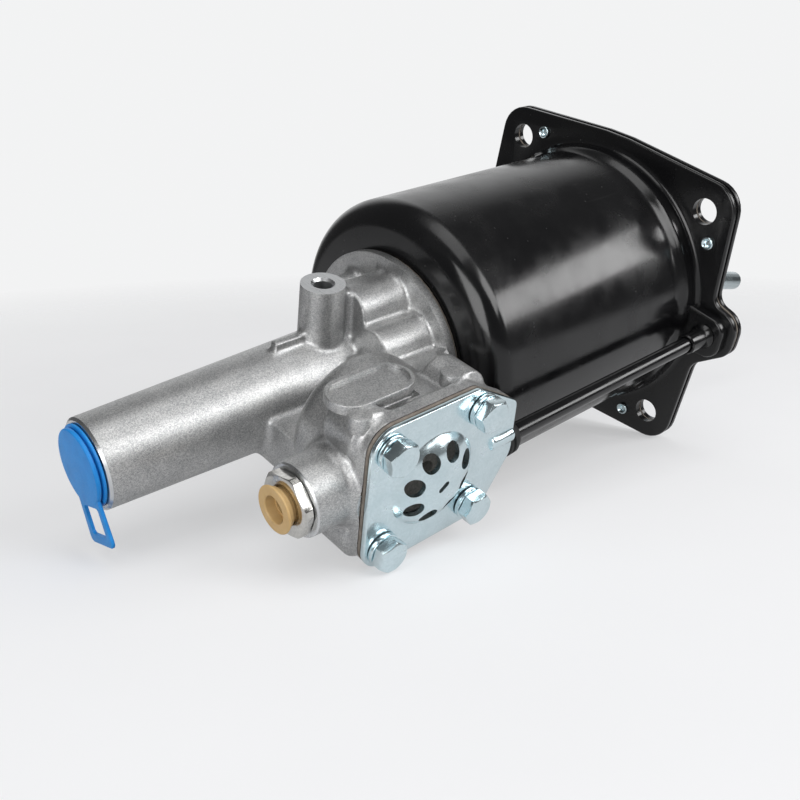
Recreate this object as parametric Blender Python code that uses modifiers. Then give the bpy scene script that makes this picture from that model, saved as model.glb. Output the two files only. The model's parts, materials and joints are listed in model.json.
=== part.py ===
"""Air-assisted hydraulic clutch servo: cylinder pot, die-cast valve housing and the works inside.

The frame is the servo's own. +X runs along the main axis from the hydraulic nose to the gearbox
face, the origin is the centre of that face, +Z is the bleeder side, and the exhaust cover looks
along -Y. Lengths are metres.
"""
import math

import bmesh
import bpy
from mathutils import Matrix, Vector

MM = 0.001

# Running and seating clearance between neighbouring pieces.
GAP = 0.3 * MM

# Points closer than this are one point.
SLIVER = 0.02 * MM

# Cylinder pot, a deep-drawn steel shell with a square flange.
POT_RADIUS = 55.0 * MM
POT_WALL = 2.2 * MM
POT_DEPTH = 118.0 * MM
SHOULDER_RADIUS = 9.0 * MM
ROOT_RADIUS = 57.1 * MM
ROOT_LENGTH = 6.0 * MM
ROOT_BLEND = 7.0 * MM
FLANGE_THICK = 2.6 * MM
FLANGE_HALF = 59.6 * MM
FLANGE_CORNER = 12.0 * MM
FLANGE_BULGE = 4.4 * MM
BULGE_HALF = 30.0 * MM
MOUNT_HOLE_HALF = 48.0 * MM
MOUNT_HOLE_RADIUS = 5.25 * MM

# Ear on the flange, where the breather pipe comes in.
EAR_REACH = 76.0 * MM
EAR_TOP = 10.5 * MM
EAR_BOTTOM = -4.5 * MM
EAR_ROOT_TOP = 13.5 * MM
EAR_ROOT_BOTTOM = -16.0 * MM
HUMP_HEIGHT = 4.6 * MM
HUMP_HALF = 8.0 * MM
HUMP_WALL = 1.8 * MM
HUMP_EDGE = 1.4 * MM

# Rear cover and gasket behind the flange.
REAR_COVER_THICK = 2.0 * MM
GASKET_THICK = 0.5 * MM
ROD_WINDOW_RADIUS = 29.0 * MM

# Rivets that hold flange, gasket and rear cover together.
RIVET_CIRCLE = 64.6 * MM
RIVET_ANGLE = math.radians(55.5)
RIVET_SHANK = 2.0 * MM
RIVET_HEAD = 2.7 * MM
RIVET_HEAD_THICK = 0.9 * MM
RIVET_SINK = 0.9 * MM

# Die-cast housing: disc, tapered nose tube and spigot.
DISC_RADIUS = 38.3 * MM
DISC_THICK = 3.6 * MM
DISC_EDGE = 0.6 * MM
HOUSING_GASKET_THICK = 0.7 * MM
HOUSING_GASKET_INSET = 0.8 * MM
TUBE_LENGTH = 116.8 * MM
TUBE_RADIUS_NOSE = 15.0 * MM
TUBE_RADIUS_ROOT = 18.4 * MM
TUBE_EDGE = 0.8 * MM
SPIGOT_RADIUS = 17.0 * MM
SPIGOT_LENGTH = 7.0 * MM

# Hydraulic bore in the nose, with its port at the tip.
PORT_RADIUS = 5.2 * MM
PORT_DEPTH = 11.0 * MM
PLUNGER_RADIUS = 9.5 * MM
BORE_END_WALL = 14.0 * MM
STEP_RADIUS = 13.3 * MM
STEP_DEPTH = 14.0 * MM
GUIDE_LENGTH = 5.8 * MM
SEAL_LENGTH = 4.0 * MM
CLIP_THICK = 1.2 * MM
CLIP_GROOVE = 0.9 * MM

# Bosses on the disc: three screw bosses, the air gallery and a small far-side boss.
SCREW_CIRCLE = 25.2 * MM
SCREW_ANGLE = math.radians(99.0)
SCREW_COUNT = 3
SCREW_BOSS_RADIUS = 9.0 * MM
SCREW_BOSS_LENGTH = 20.5 * MM
SCREW_RADIUS = 4.0 * MM
SCREW_LENGTH = 20.0 * MM
SCREW_HEAD_FLATS = 13.0 * MM
SCREW_HEAD_HEIGHT = 5.3 * MM
GALLERY_Y = -18.0 * MM
GALLERY_Z = 16.3 * MM
GALLERY_BOSS_RADIUS = 8.6 * MM
GALLERY_HOLE_RADIUS = 4.0 * MM
SIDE_BOSS_Y = 16.0 * MM
SIDE_BOSS_Z = 21.5 * MM
SIDE_BOSS_RADIUS = 5.0 * MM
SIDE_BOSS_LENGTH = 12.0 * MM
CORE_INSET = 0.8 * MM

# Bleeder boss on top of the tube.
BLEEDER_SETBACK = 28.8 * MM
BLEEDER_TOP = 37.0 * MM
BLEEDER_RADIUS = 7.7 * MM
BLEEDER_HOLE_RADIUS = 3.2 * MM
BLEEDER_CHAMFER = 0.9 * MM
BLEEDER_WALL_HALF = 4.0 * MM
BLEEDER_WALL_DROP = 3.6 * MM
TUBE_RIB_LENGTH = 20.0 * MM
TUBE_RIB_HALF = 1.6 * MM
TUBE_RIB_TOP = 20.5 * MM

# Relay valve block, whose axis runs along -Y.
VALVE_SETBACK = 41.4 * MM
VALVE_Z = 7.0 * MM
BLOCK_REACH = 67.9 * MM
BARREL_RADIUS = 24.4 * MM
BARREL_LENGTH = 36.9 * MM
BARREL_EDGE = 6.0 * MM
BLOCK_FLANGE_THICK = 8.5 * MM
BOLT_BOSS_RADIUS = 8.7 * MM
BOLT_BOSS_LENGTH = 17.0 * MM
NECK_TOP = 3.6 * MM
NECK_BOTTOM = -14.0 * MM
NECK_FRONT_INSET = 4.2 * MM
NECK_BACK_GAP = 6.0 * MM
DUCT_TOP = 27.0 * MM
DUCT_BOTTOM = -8.0 * MM
DUCT_EDGE = 3.5 * MM
PAD_LENGTH = 29.0 * MM
PAD_WIDTH = 14.4 * MM
PAD_SHIFT = 12.6 * MM
PAD_REACH = 52.4 * MM
PAD_TOP = 35.0 * MM
PAD_RIM = 1.1 * MM
PAD_RIM_HEIGHT = 0.8 * MM

# Relay valve bores, measured inward from the block face.
CHAMBER_RADIUS = 15.0 * MM
CHAMBER_DEPTH = 9.0 * MM
VALVE_BORE_RADIUS = 12.0 * MM
VALVE_BORE_DEPTH = 22.0 * MM
RELAY_RADIUS = 8.0 * MM
RELAY_BORE_DEPTH = 34.4 * MM
RELAY_LENGTH = 7.6 * MM
RELAY_STEM_RADIUS = 2.4 * MM
RELAY_GROOVE = 1.5 * MM
SEAT_THICK = 3.8 * MM
SEAT_HOLE_RADIUS = 5.0 * MM
SEAT_LIP = 0.8 * MM
POPPET_RADIUS = 7.5 * MM
POPPET_THICK = 3.0 * MM
POPPET_STEM_RADIUS = 3.5 * MM
POPPET_STEM_LENGTH = 7.5 * MM
POPPET_HOLE_RADIUS = 1.8 * MM
GUIDE_RING_THICK = 3.8 * MM
SILENCER_THICK = 4.4 * MM
VALVE_LIFT = 2.0 * MM
SMALL_WIRE = 0.45 * MM

# Exhaust cover with its gasket and bolts.
COVER_THICK = 1.8 * MM
COVER_GASKET_THICK = 1.0 * MM
COVER_LEFT = 25.2 * MM
COVER_TOP = 25.8 * MM
COVER_BOTTOM = 26.0 * MM
COVER_RIGHT = 36.6 * MM
COVER_CORNER = 8.5 * MM
BOLT_HALF = 18.2 * MM
BOLT_RADIUS = 3.0 * MM
BOLT_LENGTH = 16.0 * MM
BOLT_FLATS = 10.0 * MM
BOLT_HEAD_HEIGHT = 4.0 * MM
WASHER_THICK = 1.6 * MM
WASHER_RADIUS = 5.5 * MM
WASHER_SPLIT = 1.2 * MM
DOME_RADIUS = 16.0 * MM
DOME_TOP_RADIUS = 7.0 * MM
DOME_HEIGHT = 4.6 * MM
DOME_WALL = 1.3 * MM
DOME_HOLE_CIRCLE = 11.2 * MM
DOME_HOLE_RADIUS = 2.5 * MM
DOME_HOLE_COUNT = 8
DOME_HOLE_ANGLE = math.radians(27.0)
DOME_SLOT_LENGTH = 3.2 * MM
DOME_SLOT_WIDTH = 1.1 * MM
DOME_SLOT_ANGLE = math.radians(35.0)
TAB_RADIUS = 2.8 * MM
TAB_LENGTH = 11.0 * MM
TAB_RISE = 1.7 * MM
TAB_OFFSET_Z = 1.2 * MM

# Air inlet: cast boss, push-in fitting and collet, all along X.
INLET_REACH = 55.0 * MM
INLET_Z = 6.3 * MM
INLET_BOSS_RADIUS = 11.7 * MM
INLET_BOSS_LENGTH = 39.3 * MM
INLET_RING_RADIUS = 13.0 * MM
INLET_RING_THICK = 3.5 * MM
INLET_RING_SETBACK = 23.8 * MM
INLET_THREAD_RADIUS = 8.0 * MM
INLET_THREAD_LENGTH = 10.0 * MM
INLET_PASSAGE_RADIUS = 4.0 * MM
FITTING_FLATS = 19.0 * MM
FITTING_HEX_THICK = 3.9 * MM
FITTING_COLLAR_RADIUS = 10.6 * MM
FITTING_COLLAR_THICK = 0.9 * MM
TUBE_SOCKET_RADIUS = 5.9 * MM
COLLET_FLANGE_RADIUS = 7.6 * MM
COLLET_FLANGE_THICK = 0.8 * MM
COLLET_NECK_LENGTH = 8.0 * MM
COLLET_BORE_RADIUS = 4.1 * MM
COLLET_TRAVEL = 0.8 * MM
TUBE_RING_WIRE = 0.85 * MM

# Breather pipe from the valve block to the ear.
PIPE_Y = -65.0 * MM
PIPE_Z = 1.1 * MM
PIPE_RADIUS = 3.0 * MM
PIPE_WALL = 0.9 * MM
PIPE_SEAT = 7.0 * MM
SLEEVE_RADIUS = 4.1 * MM
SLEEVE_LENGTH = 12.0 * MM
GROMMET_RADIUS = 6.2 * MM
GROMMET_LENGTH = 7.0 * MM

# Dust cap in the nose port, with its pull loop.
CAP_PLUG_LENGTH = 8.0 * MM
CAP_SEAL_RADIUS = 13.4 * MM
CAP_SEAL_THICK = 0.7 * MM
CAP_NECK_RADIUS = 11.4 * MM
CAP_NECK_LENGTH = 0.6 * MM
CAP_DISC_RADIUS = 12.6 * MM
CAP_DISC_THICK = 1.4 * MM
STRAP_ANGLE = math.radians(27.0)
STRAP_WIDTH = 17.0 * MM
STRAP_REACH = 25.5 * MM
STRAP_BAR = 3.2 * MM

# Air piston, its plunger and its seals.
PISTON_LENGTH = 18.0 * MM
PISTON_WEB = 6.0 * MM
PISTON_RIM_WALL = 5.0 * MM
HUB_RADIUS = 17.0 * MM
HUB_LENGTH = 28.0 * MM
PLUNGER_SEAT_DEPTH = 11.0 * MM
PLUNGER_EDGE = 1.2 * MM
PISTON_SEAL_WIDTH = 5.0 * MM
PISTON_SEAL_DEPTH = 3.4 * MM
GUIDE_BAND_WIDTH = 3.6 * MM
GUIDE_BAND_DEPTH = 1.6 * MM
GROOVE_LAND = 2.6 * MM
PISTON_STROKE = 60.0 * MM
STROKE_SPARE = 3.5 * MM

# Return spring, a cone from the pot's front wall to the piston.
SPRING_WIRE = 1.8 * MM
SPRING_TURNS = 6
SPRING_RADIUS_FRONT = 41.0 * MM
SPRING_RADIUS_PISTON = 24.0 * MM

# Push rod with its ball in the piston's seat.
BALL_RADIUS = 7.0 * MM
BALL_DEPTH = 11.0 * MM
NECK_RADIUS = 4.0 * MM
NECK_LENGTH = 11.0 * MM
ROD_RADIUS = 5.0 * MM
ROD_LENGTH = 167.0 * MM
ROD_TIP = 3.0 * MM
ROD_DROOP = math.radians(16.0)
SEAT_INSERT_RADIUS = 12.0 * MM
SEAT_INSERT_DEPTH = 10.5 * MM
ROD_CLIP_THICK = 1.2 * MM
ROD_CLIP_HOLE = 6.3 * MM

# Facets round the large, middle and small turned pieces.
FINE = 40
MIDDLE = 24
SMALL = 16
TINY = 10
FACET_SHIFT = math.radians(1.3)

# Rotations that turn a shape's own Z to the named direction.
ALONG_X = (math.pi / 2, 0.0, math.pi / 2)
ALONG_MINUS_Y = (math.pi / 2, 0.0, 0.0)
ALONG_Z = (0.0, 0.0, 0.0)

# Stations along X that follow from the sizes above.
COVER_FRONT_X = -REAR_COVER_THICK
GASKET_BACK_X = COVER_FRONT_X - GAP
GASKET_FRONT_X = GASKET_BACK_X - GASKET_THICK
FLANGE_BACK_X = GASKET_FRONT_X - GAP
FLANGE_FRONT_X = FLANGE_BACK_X - FLANGE_THICK
POT_FRONT_X = FLANGE_FRONT_X - POT_DEPTH
POT_FLOOR_X = POT_FRONT_X + POT_WALL
DISC_BACK_X = POT_FRONT_X - 2 * GAP - HOUSING_GASKET_THICK
DISC_FRONT_X = DISC_BACK_X - DISC_THICK
NOSE_X = DISC_FRONT_X - TUBE_LENGTH
SPIGOT_END_X = DISC_BACK_X + SPIGOT_LENGTH
BOSS_END_X = DISC_FRONT_X - SCREW_BOSS_LENGTH
BLEEDER_X = DISC_FRONT_X - BLEEDER_SETBACK
VALVE_X = DISC_FRONT_X - VALVE_SETBACK
POT_BORE = POT_RADIUS - POT_WALL
PLUNGER_BORE = PLUNGER_RADIUS + GAP
PISTON_BACK_X = COVER_FRONT_X - GAP
PISTON_FRONT_X = PISTON_BACK_X - PISTON_LENGTH
WEB_FRONT_X = PISTON_FRONT_X + PISTON_LENGTH - PISTON_WEB - GAP
HUB_FRONT_X = WEB_FRONT_X - HUB_LENGTH
BALL_X = PISTON_BACK_X - BALL_DEPTH
INLET_END_X = VALVE_X - INLET_BOSS_LENGTH
HEX_BACK_X = INLET_END_X - GAP - FITTING_COLLAR_THICK
HEX_FRONT_X = HEX_BACK_X - FITTING_HEX_THICK
COLLET_FLANGE_X = HEX_FRONT_X - COLLET_TRAVEL - GAP
BLOCK_RIGHT_X = VALVE_X + COVER_RIGHT
HUMP_FRONT_X = FLANGE_FRONT_X - HUMP_HEIGHT

# Reaches along -Y that follow, measured from the main axis.
GUIDE_RING_INNER = BLOCK_REACH - CHAMBER_DEPTH + GAP
GUIDE_RING_OUTER = GUIDE_RING_INNER + GUIDE_RING_THICK
SEAT_INNER = BLOCK_REACH - VALVE_BORE_DEPTH + GAP
SEAT_OUTER = SEAT_INNER + SEAT_THICK
POPPET_INNER = SEAT_OUTER + GAP
POPPET_OUTER = POPPET_INNER + POPPET_THICK
RELAY_INNER = BLOCK_REACH - RELAY_BORE_DEPTH + GAP
RELAY_SHOULDER = RELAY_INNER + RELAY_LENGTH
COVER_INNER = BLOCK_REACH + 2 * GAP + COVER_GASKET_THICK
COVER_OUTER = COVER_INNER + COVER_THICK
HEAD_SEAT = COVER_OUTER + 2 * GAP + WASHER_THICK

# Colour, metallic value and roughness of each finish.
FINISHES = {
    "black_enamel": ((0.012, 0.012, 0.013), 0.0, 0.18),
    "raw_aluminium": ((0.52, 0.53, 0.54), 1.0, 0.42),
    "turned_aluminium": ((0.62, 0.63, 0.64), 1.0, 0.30),
    "zinc_plate": ((0.66, 0.72, 0.74), 1.0, 0.22),
    "nickel": ((0.70, 0.70, 0.68), 1.0, 0.20),
    "spring_steel": ((0.30, 0.30, 0.31), 1.0, 0.35),
    "plunger_steel": ((0.55, 0.55, 0.56), 1.0, 0.15),
    "black_rubber": ((0.02, 0.02, 0.02), 0.0, 0.60),
    "gasket_paper": ((0.23, 0.17, 0.13), 0.0, 0.85),
    "blue_plastic": ((0.013, 0.16, 0.52), 0.0, 0.38),
    "tan_plastic": ((0.54, 0.36, 0.15), 0.0, 0.35),
    "white_plastic": ((0.72, 0.70, 0.64), 0.0, 0.50),
    "felt": ((0.25, 0.24, 0.22), 0.0, 0.95),
}

for leftover in list(bpy.data.objects):
    bpy.data.objects.remove(leftover, do_unlink=True)


def new_collection(name):
    """Make a collection in the scene."""
    collection = bpy.data.collections.new(name)
    bpy.context.scene.collection.children.link(collection)
    return collection


PARTS = new_collection("clutch_servo")
CUTTERS = new_collection("cutters")


def finish(obj, kind):
    """Give an object its own Principled material."""
    colour, metallic, roughness = FINISHES[kind]
    material = bpy.data.materials.new(f"{obj.name}_{kind}")
    material.use_nodes = True
    shader = material.node_tree.nodes["Principled BSDF"]
    shader.inputs["Base Color"].default_value = (*colour, 1.0)
    shader.inputs["Metallic"].default_value = metallic
    shader.inputs["Roughness"].default_value = roughness
    material.diffuse_color = (*colour, 1.0)
    obj.data.materials.clear()
    obj.data.materials.append(material)


def smooth(mesh, angle=math.radians(32)):
    """Shade round faces smooth and keep real edges sharp."""
    mesh.shade_smooth()
    mesh.set_sharp_from_angle(angle=angle)


def place(obj, location, rotation, collection):
    """Put an object in a collection at its place."""
    obj.location = location
    obj.rotation_euler = rotation
    collection.objects.link(obj)
    if collection is CUTTERS:
        obj.hide_render = True
        obj.display_type = "WIRE"
    return obj


def piece(name, mesh, kind, location=(0, 0, 0), rotation=ALONG_Z):
    """Add a mesh as a named part with its finish."""
    obj = place(bpy.data.objects.new(name, mesh), location, rotation, PARTS)
    finish(obj, kind)
    return obj


def baked(obj):
    """Return an object's evaluated mesh and remove the object."""
    bpy.context.view_layer.update()
    graph = bpy.context.evaluated_depsgraph_get()
    mesh = bpy.data.meshes.new_from_object(obj.evaluated_get(graph))
    bpy.data.objects.remove(obj, do_unlink=True)
    work = bmesh.new()
    work.from_mesh(mesh)
    bmesh.ops.remove_doubles(work, verts=work.verts, dist=1e-6)
    work.to_mesh(mesh)
    work.free()
    return mesh


def arc(station, radius, bend, start, end, steps=4):
    """Points of an arc in a profile, as (station, radius) pairs, angles in degrees."""
    points = []
    for i in range(steps + 1):
        angle = math.radians(start + (end - start) * i / steps)
        points.append((station + bend * math.cos(angle), radius + bend * math.sin(angle)))
    return points


def turned_mesh(name, profile, segments=MIDDLE):
    """Turn a section round Z. The profile lists (station, radius) once round the section."""
    area = 0.0
    for (z0, r0), (z1, r1) in zip(profile, profile[1:] + profile[:1]):
        area += r0 * z1 - r1 * z0
    run = list(reversed(profile)) if area > 0 else list(profile)
    on_axis = [r < 1e-9 for _, r in run]
    if any(on_axis):
        while not (on_axis[0] and on_axis[-1]):
            run.append(run.pop(0))
            on_axis.append(on_axis.pop(0))
    edges = [(i, i + 1) for i in range(len(run) - 1)]
    if not any(on_axis):
        edges.append((len(run) - 1, 0))
    mesh = bpy.data.meshes.new(name)
    mesh.from_pydata([(r, 0.0, z) for z, r in run], edges, [])
    obj = place(bpy.data.objects.new(name, mesh), (0, 0, 0), ALONG_Z, CUTTERS)
    screw = obj.modifiers.new("turn", "SCREW")
    screw.steps = segments
    screw.render_steps = segments
    screw.use_merge_vertices = True
    screw.merge_threshold = 1e-6
    result = baked(obj)
    result.name = name
    work = bmesh.new()
    work.from_mesh(result)
    flat_poles = [
        vert for vert in work.verts
        if vert.co.xy.length < 1e-8
        and all(abs(edge.other_vert(vert).co.z - vert.co.z) < 1e-8 for edge in vert.link_edges)
    ]
    bmesh.ops.dissolve_verts(work, verts=flat_poles)
    work.to_mesh(result)
    work.free()
    smooth(result)
    return result


def turned(name, kind, profile, location=(0, 0, 0), rotation=ALONG_X, segments=MIDDLE):
    """A turned part, its axis along the given direction through location."""
    return piece(name, turned_mesh(name, profile, segments), kind, location, rotation)


def tool(name, mesh, location=(0, 0, 0), rotation=ALONG_Z):
    """A guide solid that is only joined to a part or cut from it."""
    return place(bpy.data.objects.new(name, mesh), location, rotation, CUTTERS)


def turned_tool(name, profile, location=(0, 0, 0), rotation=ALONG_X, segments=MIDDLE):
    """A turned guide solid, spun a little so that its facets never share an edge with the part's."""
    mesh = turned_mesh(name, profile, segments)
    mesh.transform(Matrix.Rotation(FACET_SHIFT, 4, "Z"))
    return tool(name, mesh, location, rotation)


def rod_tool(name, radius, start, end, location=(0, 0, 0), rotation=ALONG_X, segments=SMALL):
    """A round guide solid between two stations."""
    mesh = bpy.data.meshes.new(name)
    work = bmesh.new()
    bmesh.ops.create_cone(
        work, cap_ends=True, segments=segments, radius1=radius, radius2=radius, depth=abs(end - start)
    )
    bmesh.ops.translate(work, vec=(0, 0, (start + end) / 2), verts=work.verts)
    bmesh.ops.rotate(work, cent=(0, 0, 0), matrix=Matrix.Rotation(2 * FACET_SHIFT, 3, "Z"), verts=work.verts)
    work.to_mesh(mesh)
    work.free()
    smooth(mesh)
    return tool(name, mesh, location, rotation)


def block_tool(name, low, high):
    """A box-shaped guide solid between two corners."""
    mesh = bpy.data.meshes.new(name)
    work = bmesh.new()
    bmesh.ops.create_cube(work, size=1.0)
    size = Vector(high) - Vector(low)
    bmesh.ops.scale(work, vec=size, verts=work.verts)
    bmesh.ops.translate(work, vec=(Vector(high) + Vector(low)) / 2, verts=work.verts)
    work.to_mesh(mesh)
    work.free()
    return tool(name, mesh)


def rounded_outline(corners, steps=5):
    """Round each corner (u, v, radius) of a polygon and return the points."""
    points = []
    count = len(corners)
    for i, (u, v, radius) in enumerate(corners):
        here = Vector((u, v))
        before = (Vector(corners[i - 1][:2]) - here).normalized()
        after = (Vector(corners[(i + 1) % count][:2]) - here).normalized()
        half = before.angle(after) / 2
        if radius <= 0 or abs(half - math.pi / 2) < 1e-4:
            points.append(here)
            continue
        middle = here + (before + after).normalized() * (radius / math.sin(half))
        first = here + before * (radius / math.tan(half)) - middle
        turn = (math.pi - 2 * half) * (1 if before.cross(after) < 0 else -1)
        pieces = max(1, round(steps * abs(turn) / (math.pi / 2)))
        for k in range(pieces + 1):
            angle = turn * k / pieces
            spun = Vector((
                first.x * math.cos(angle) - first.y * math.sin(angle),
                first.x * math.sin(angle) + first.y * math.cos(angle),
            ))
            points.append(middle + spun)
    return points


def plate_mesh(name, points, start, end):
    """Extrude a flat outline along Z between two stations."""
    curve = bpy.data.curves.new(name, "CURVE")
    curve.dimensions = "2D"
    curve.fill_mode = "BOTH"
    curve.extrude = abs(end - start) / 2
    spline = curve.splines.new("POLY")
    spline.points.add(len(points) - 1)
    for point, (u, v) in zip(spline.points, points):
        point.co = (u, v, 0.0, 1.0)
    spline.use_cyclic_u = True
    mesh = baked(place(bpy.data.objects.new(name, curve), (0, 0, 0), ALONG_Z, CUTTERS))
    work = bmesh.new()
    work.from_mesh(mesh)
    bmesh.ops.remove_doubles(work, verts=work.verts, dist=1e-6)
    bmesh.ops.translate(work, vec=(0, 0, (start + end) / 2), verts=work.verts)
    bmesh.ops.recalc_face_normals(work, faces=work.faces)
    work.to_mesh(mesh)
    work.free()
    mesh.name = name
    smooth(mesh)
    return mesh


def boolean(target, other, operation):
    """Add a live Boolean modifier."""
    modifier = target.modifiers.new(other.name, "BOOLEAN")
    modifier.operation = operation
    modifier.object = other
    modifier.solver = "EXACT"


def join(target, *others):
    """Fuse guide solids into a part."""
    for other in others:
        boolean(target, other, "UNION")


def cut(target, *others):
    """Cut guide solids out of a part."""
    for other in others:
        boolean(target, other, "DIFFERENCE")


def weld(target):
    """Close the slivers that a run of Booleans can leave."""
    modifier = target.modifiers.new("weld", "WELD")
    modifier.merge_threshold = SLIVER


def around(count, start=0.0):
    """Evenly spaced angles."""
    return [start + math.tau * i / count for i in range(count)]


def square_places(half):
    """The four corners of a square."""
    return [(half, half), (-half, half), (-half, -half), (half, -half)]


def flange_outline(inset=0.0):
    """Flange outline in (Y, Z): a square with bulged sides, and the ear on the -Y side."""
    side = FLANGE_HALF - inset
    crown = side + FLANGE_BULGE
    corner = FLANGE_CORNER - inset
    soft = 2 * BULGE_HALF
    return rounded_outline([
        (side, side, corner),
        (BULGE_HALF, side, soft),
        (0.0, crown, soft),
        (-BULGE_HALF, side, soft),
        (-side, side, corner),
        (-side, BULGE_HALF, soft),
        (-side - 0.8 * FLANGE_BULGE, EAR_ROOT_TOP, 6.0 * MM),
        (inset - EAR_REACH, EAR_TOP, 9.0 * MM),
        (inset - EAR_REACH, EAR_BOTTOM, 7.5 * MM),
        (-side - 0.45 * FLANGE_BULGE, EAR_ROOT_BOTTOM, 8.0 * MM),
        (-side, -BULGE_HALF, soft),
        (-side, -side, corner),
        (-BULGE_HALF, -side, soft),
        (0.0, -crown, soft),
        (BULGE_HALF, -side, soft),
        (side, -side, corner),
        (side, -BULGE_HALF, soft),
        (crown, 0.0, soft),
        (side, BULGE_HALF, soft),
    ])


def flange_holes(start, end, rivet_radius=RIVET_SHANK + GAP):
    """Cutters for the mounting holes and rivet holes, through the given stations."""
    holes = []
    for i, (y, z) in enumerate(square_places(MOUNT_HOLE_HALF)):
        holes.append(rod_tool(f"mount_hole_{i}", MOUNT_HOLE_RADIUS, start, end, (0, y, z)))
    for i, angle in enumerate(around(4, RIVET_ANGLE)):
        y = RIVET_CIRCLE * math.cos(angle)
        z = RIVET_CIRCLE * math.sin(angle)
        holes.append(rod_tool(f"rivet_hole_{i}", rivet_radius, start, end, (0, y, z), segments=TINY))
    return holes


def hump_outline(half, reach):
    """Outline in (Y, Z) of the pressed channel between the pot's root and the ear."""
    inner = -ROOT_RADIUS + POT_WALL
    return rounded_outline([
        (inner, PIPE_Z + 1.25 * half, 1.0 * MM),
        (PIPE_Y - reach, PIPE_Z + half, 0.8 * half),
        (PIPE_Y - reach, PIPE_Z - half, 0.8 * half),
        (inner, PIPE_Z - 1.25 * half, 1.0 * MM),
    ])


def screw_places():
    """Centres in (Y, Z) of the housing screws."""
    return [
        (SCREW_CIRCLE * math.cos(angle), SCREW_CIRCLE * math.sin(angle))
        for angle in around(SCREW_COUNT, SCREW_ANGLE)
    ]


def build_pot():
    """Deep-drawn pot: turned shell, flange plate, pressed channel and all its holes."""
    bend = SHOULDER_RADIUS
    inside = bend - POT_WALL
    bend_x = POT_FRONT_X + bend
    root_x = FLANGE_FRONT_X - ROOT_LENGTH
    bottom = FLANGE_BACK_X - 0.5 * FLANGE_THICK
    profile = [(POT_FRONT_X, 0.0)]
    profile += arc(bend_x, POT_RADIUS - bend, bend, 180, 90)
    profile += [(root_x - ROOT_BLEND, POT_RADIUS)]
    profile += [(root_x - 0.4 * ROOT_BLEND, 0.6 * POT_RADIUS + 0.4 * ROOT_RADIUS)]
    profile += [(root_x, ROOT_RADIUS), (FLANGE_FRONT_X - 0.8 * MM, ROOT_RADIUS)]
    profile += [(FLANGE_FRONT_X, ROOT_RADIUS + 0.8 * MM), (bottom, ROOT_RADIUS + 0.8 * MM), (bottom, 0.0)]
    pot = turned("cylinder_pot", "black_enamel", profile, segments=FINE)
    flange = tool(
        "flange_plate",
        plate_mesh("flange_plate", flange_outline(), FLANGE_FRONT_X, FLANGE_BACK_X),
        rotation=ALONG_X,
    )
    mouth = SPIGOT_RADIUS + GAP
    cavity = [(POT_FRONT_X - MM, 0.0), (POT_FRONT_X - MM, mouth), (POT_FLOOR_X, mouth)]
    cavity += arc(bend_x, POT_BORE - inside, inside, 180, 90)
    cavity += [(0.0, POT_BORE), (0.0, 0.0)]
    bore = turned_tool("pot_cavity", cavity, segments=FINE)
    hump = tool(
        "pressed_channel",
        plate_mesh("pressed_channel", hump_outline(HUMP_HALF, HUMP_HALF), HUMP_FRONT_X, FLANGE_BACK_X - 0.4 * MM),
        rotation=ALONG_X,
    )
    edge = hump.modifiers.new("pressed_edge", "BEVEL")
    edge.width = HUMP_EDGE
    edge.segments = 2
    edge.limit_method = "ANGLE"
    edge.angle_limit = math.radians(60)
    join(pot, flange, hump)
    channel_half = HUMP_HALF - HUMP_WALL
    channel_start = HUMP_FRONT_X + HUMP_WALL
    channel = tool(
        "air_channel",
        plate_mesh("air_channel", hump_outline(channel_half, channel_half), channel_start, 0.0),
        rotation=ALONG_X,
    )
    cut(pot, channel, bore)
    cut(pot, rod_tool(
        "sleeve_hole", PIPE_RADIUS + GAP, HUMP_FRONT_X - MM, channel_start + MM, (0, PIPE_Y, PIPE_Z)
    ))
    cut(pot, *flange_holes(FLANGE_FRONT_X - MM, FLANGE_BACK_X + MM))
    for i, (y, z) in enumerate(screw_places()):
        cut(pot, rod_tool(
            f"pot_screw_hole_{i}", SCREW_RADIUS + GAP, POT_FRONT_X - MM, POT_FLOOR_X + MM, (0, y, z)
        ))
    cut(pot, rod_tool(
        "pot_air_hole", GALLERY_HOLE_RADIUS, POT_FRONT_X - MM, POT_FLOOR_X + MM, (0, GALLERY_Y, GALLERY_Z)
    ))
    return pot


def build_rear_cover():
    """Flat rear cover with the push rod's window and countersunk rivet holes."""
    cover = piece(
        "rear_cover",
        plate_mesh("rear_cover", flange_outline(), COVER_FRONT_X, 0.0),
        "black_enamel",
        rotation=ALONG_X,
    )
    cut(cover, rod_tool("rod_window", ROD_WINDOW_RADIUS, COVER_FRONT_X - MM, MM, segments=MIDDLE))
    cut(cover, *flange_holes(COVER_FRONT_X - MM, MM))
    for i, angle in enumerate(around(4, RIVET_ANGLE)):
        y = RIVET_CIRCLE * math.cos(angle)
        z = RIVET_CIRCLE * math.sin(angle)
        sink = [(-RIVET_SINK - GAP, 0.0), (-RIVET_SINK - GAP, RIVET_HEAD + GAP), (MM, RIVET_HEAD + GAP), (MM, 0.0)]
        cut(cover, turned_tool(f"rivet_sink_{i}", sink, (0, y, z), segments=TINY))
    return cover


def build_flange_gasket():
    """Paper gasket between flange and rear cover, open over the bore and the air channel."""
    gasket = piece(
        "flange_gasket",
        plate_mesh("flange_gasket", flange_outline(0.4 * MM), GASKET_FRONT_X, GASKET_BACK_X),
        "gasket_paper",
        rotation=ALONG_X,
    )
    cut(gasket, rod_tool("gasket_window", POT_BORE, GASKET_FRONT_X - MM, 0.0, segments=FINE))
    cut(gasket, *flange_holes(GASKET_FRONT_X - MM, GASKET_BACK_X + MM))
    return gasket


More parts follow.
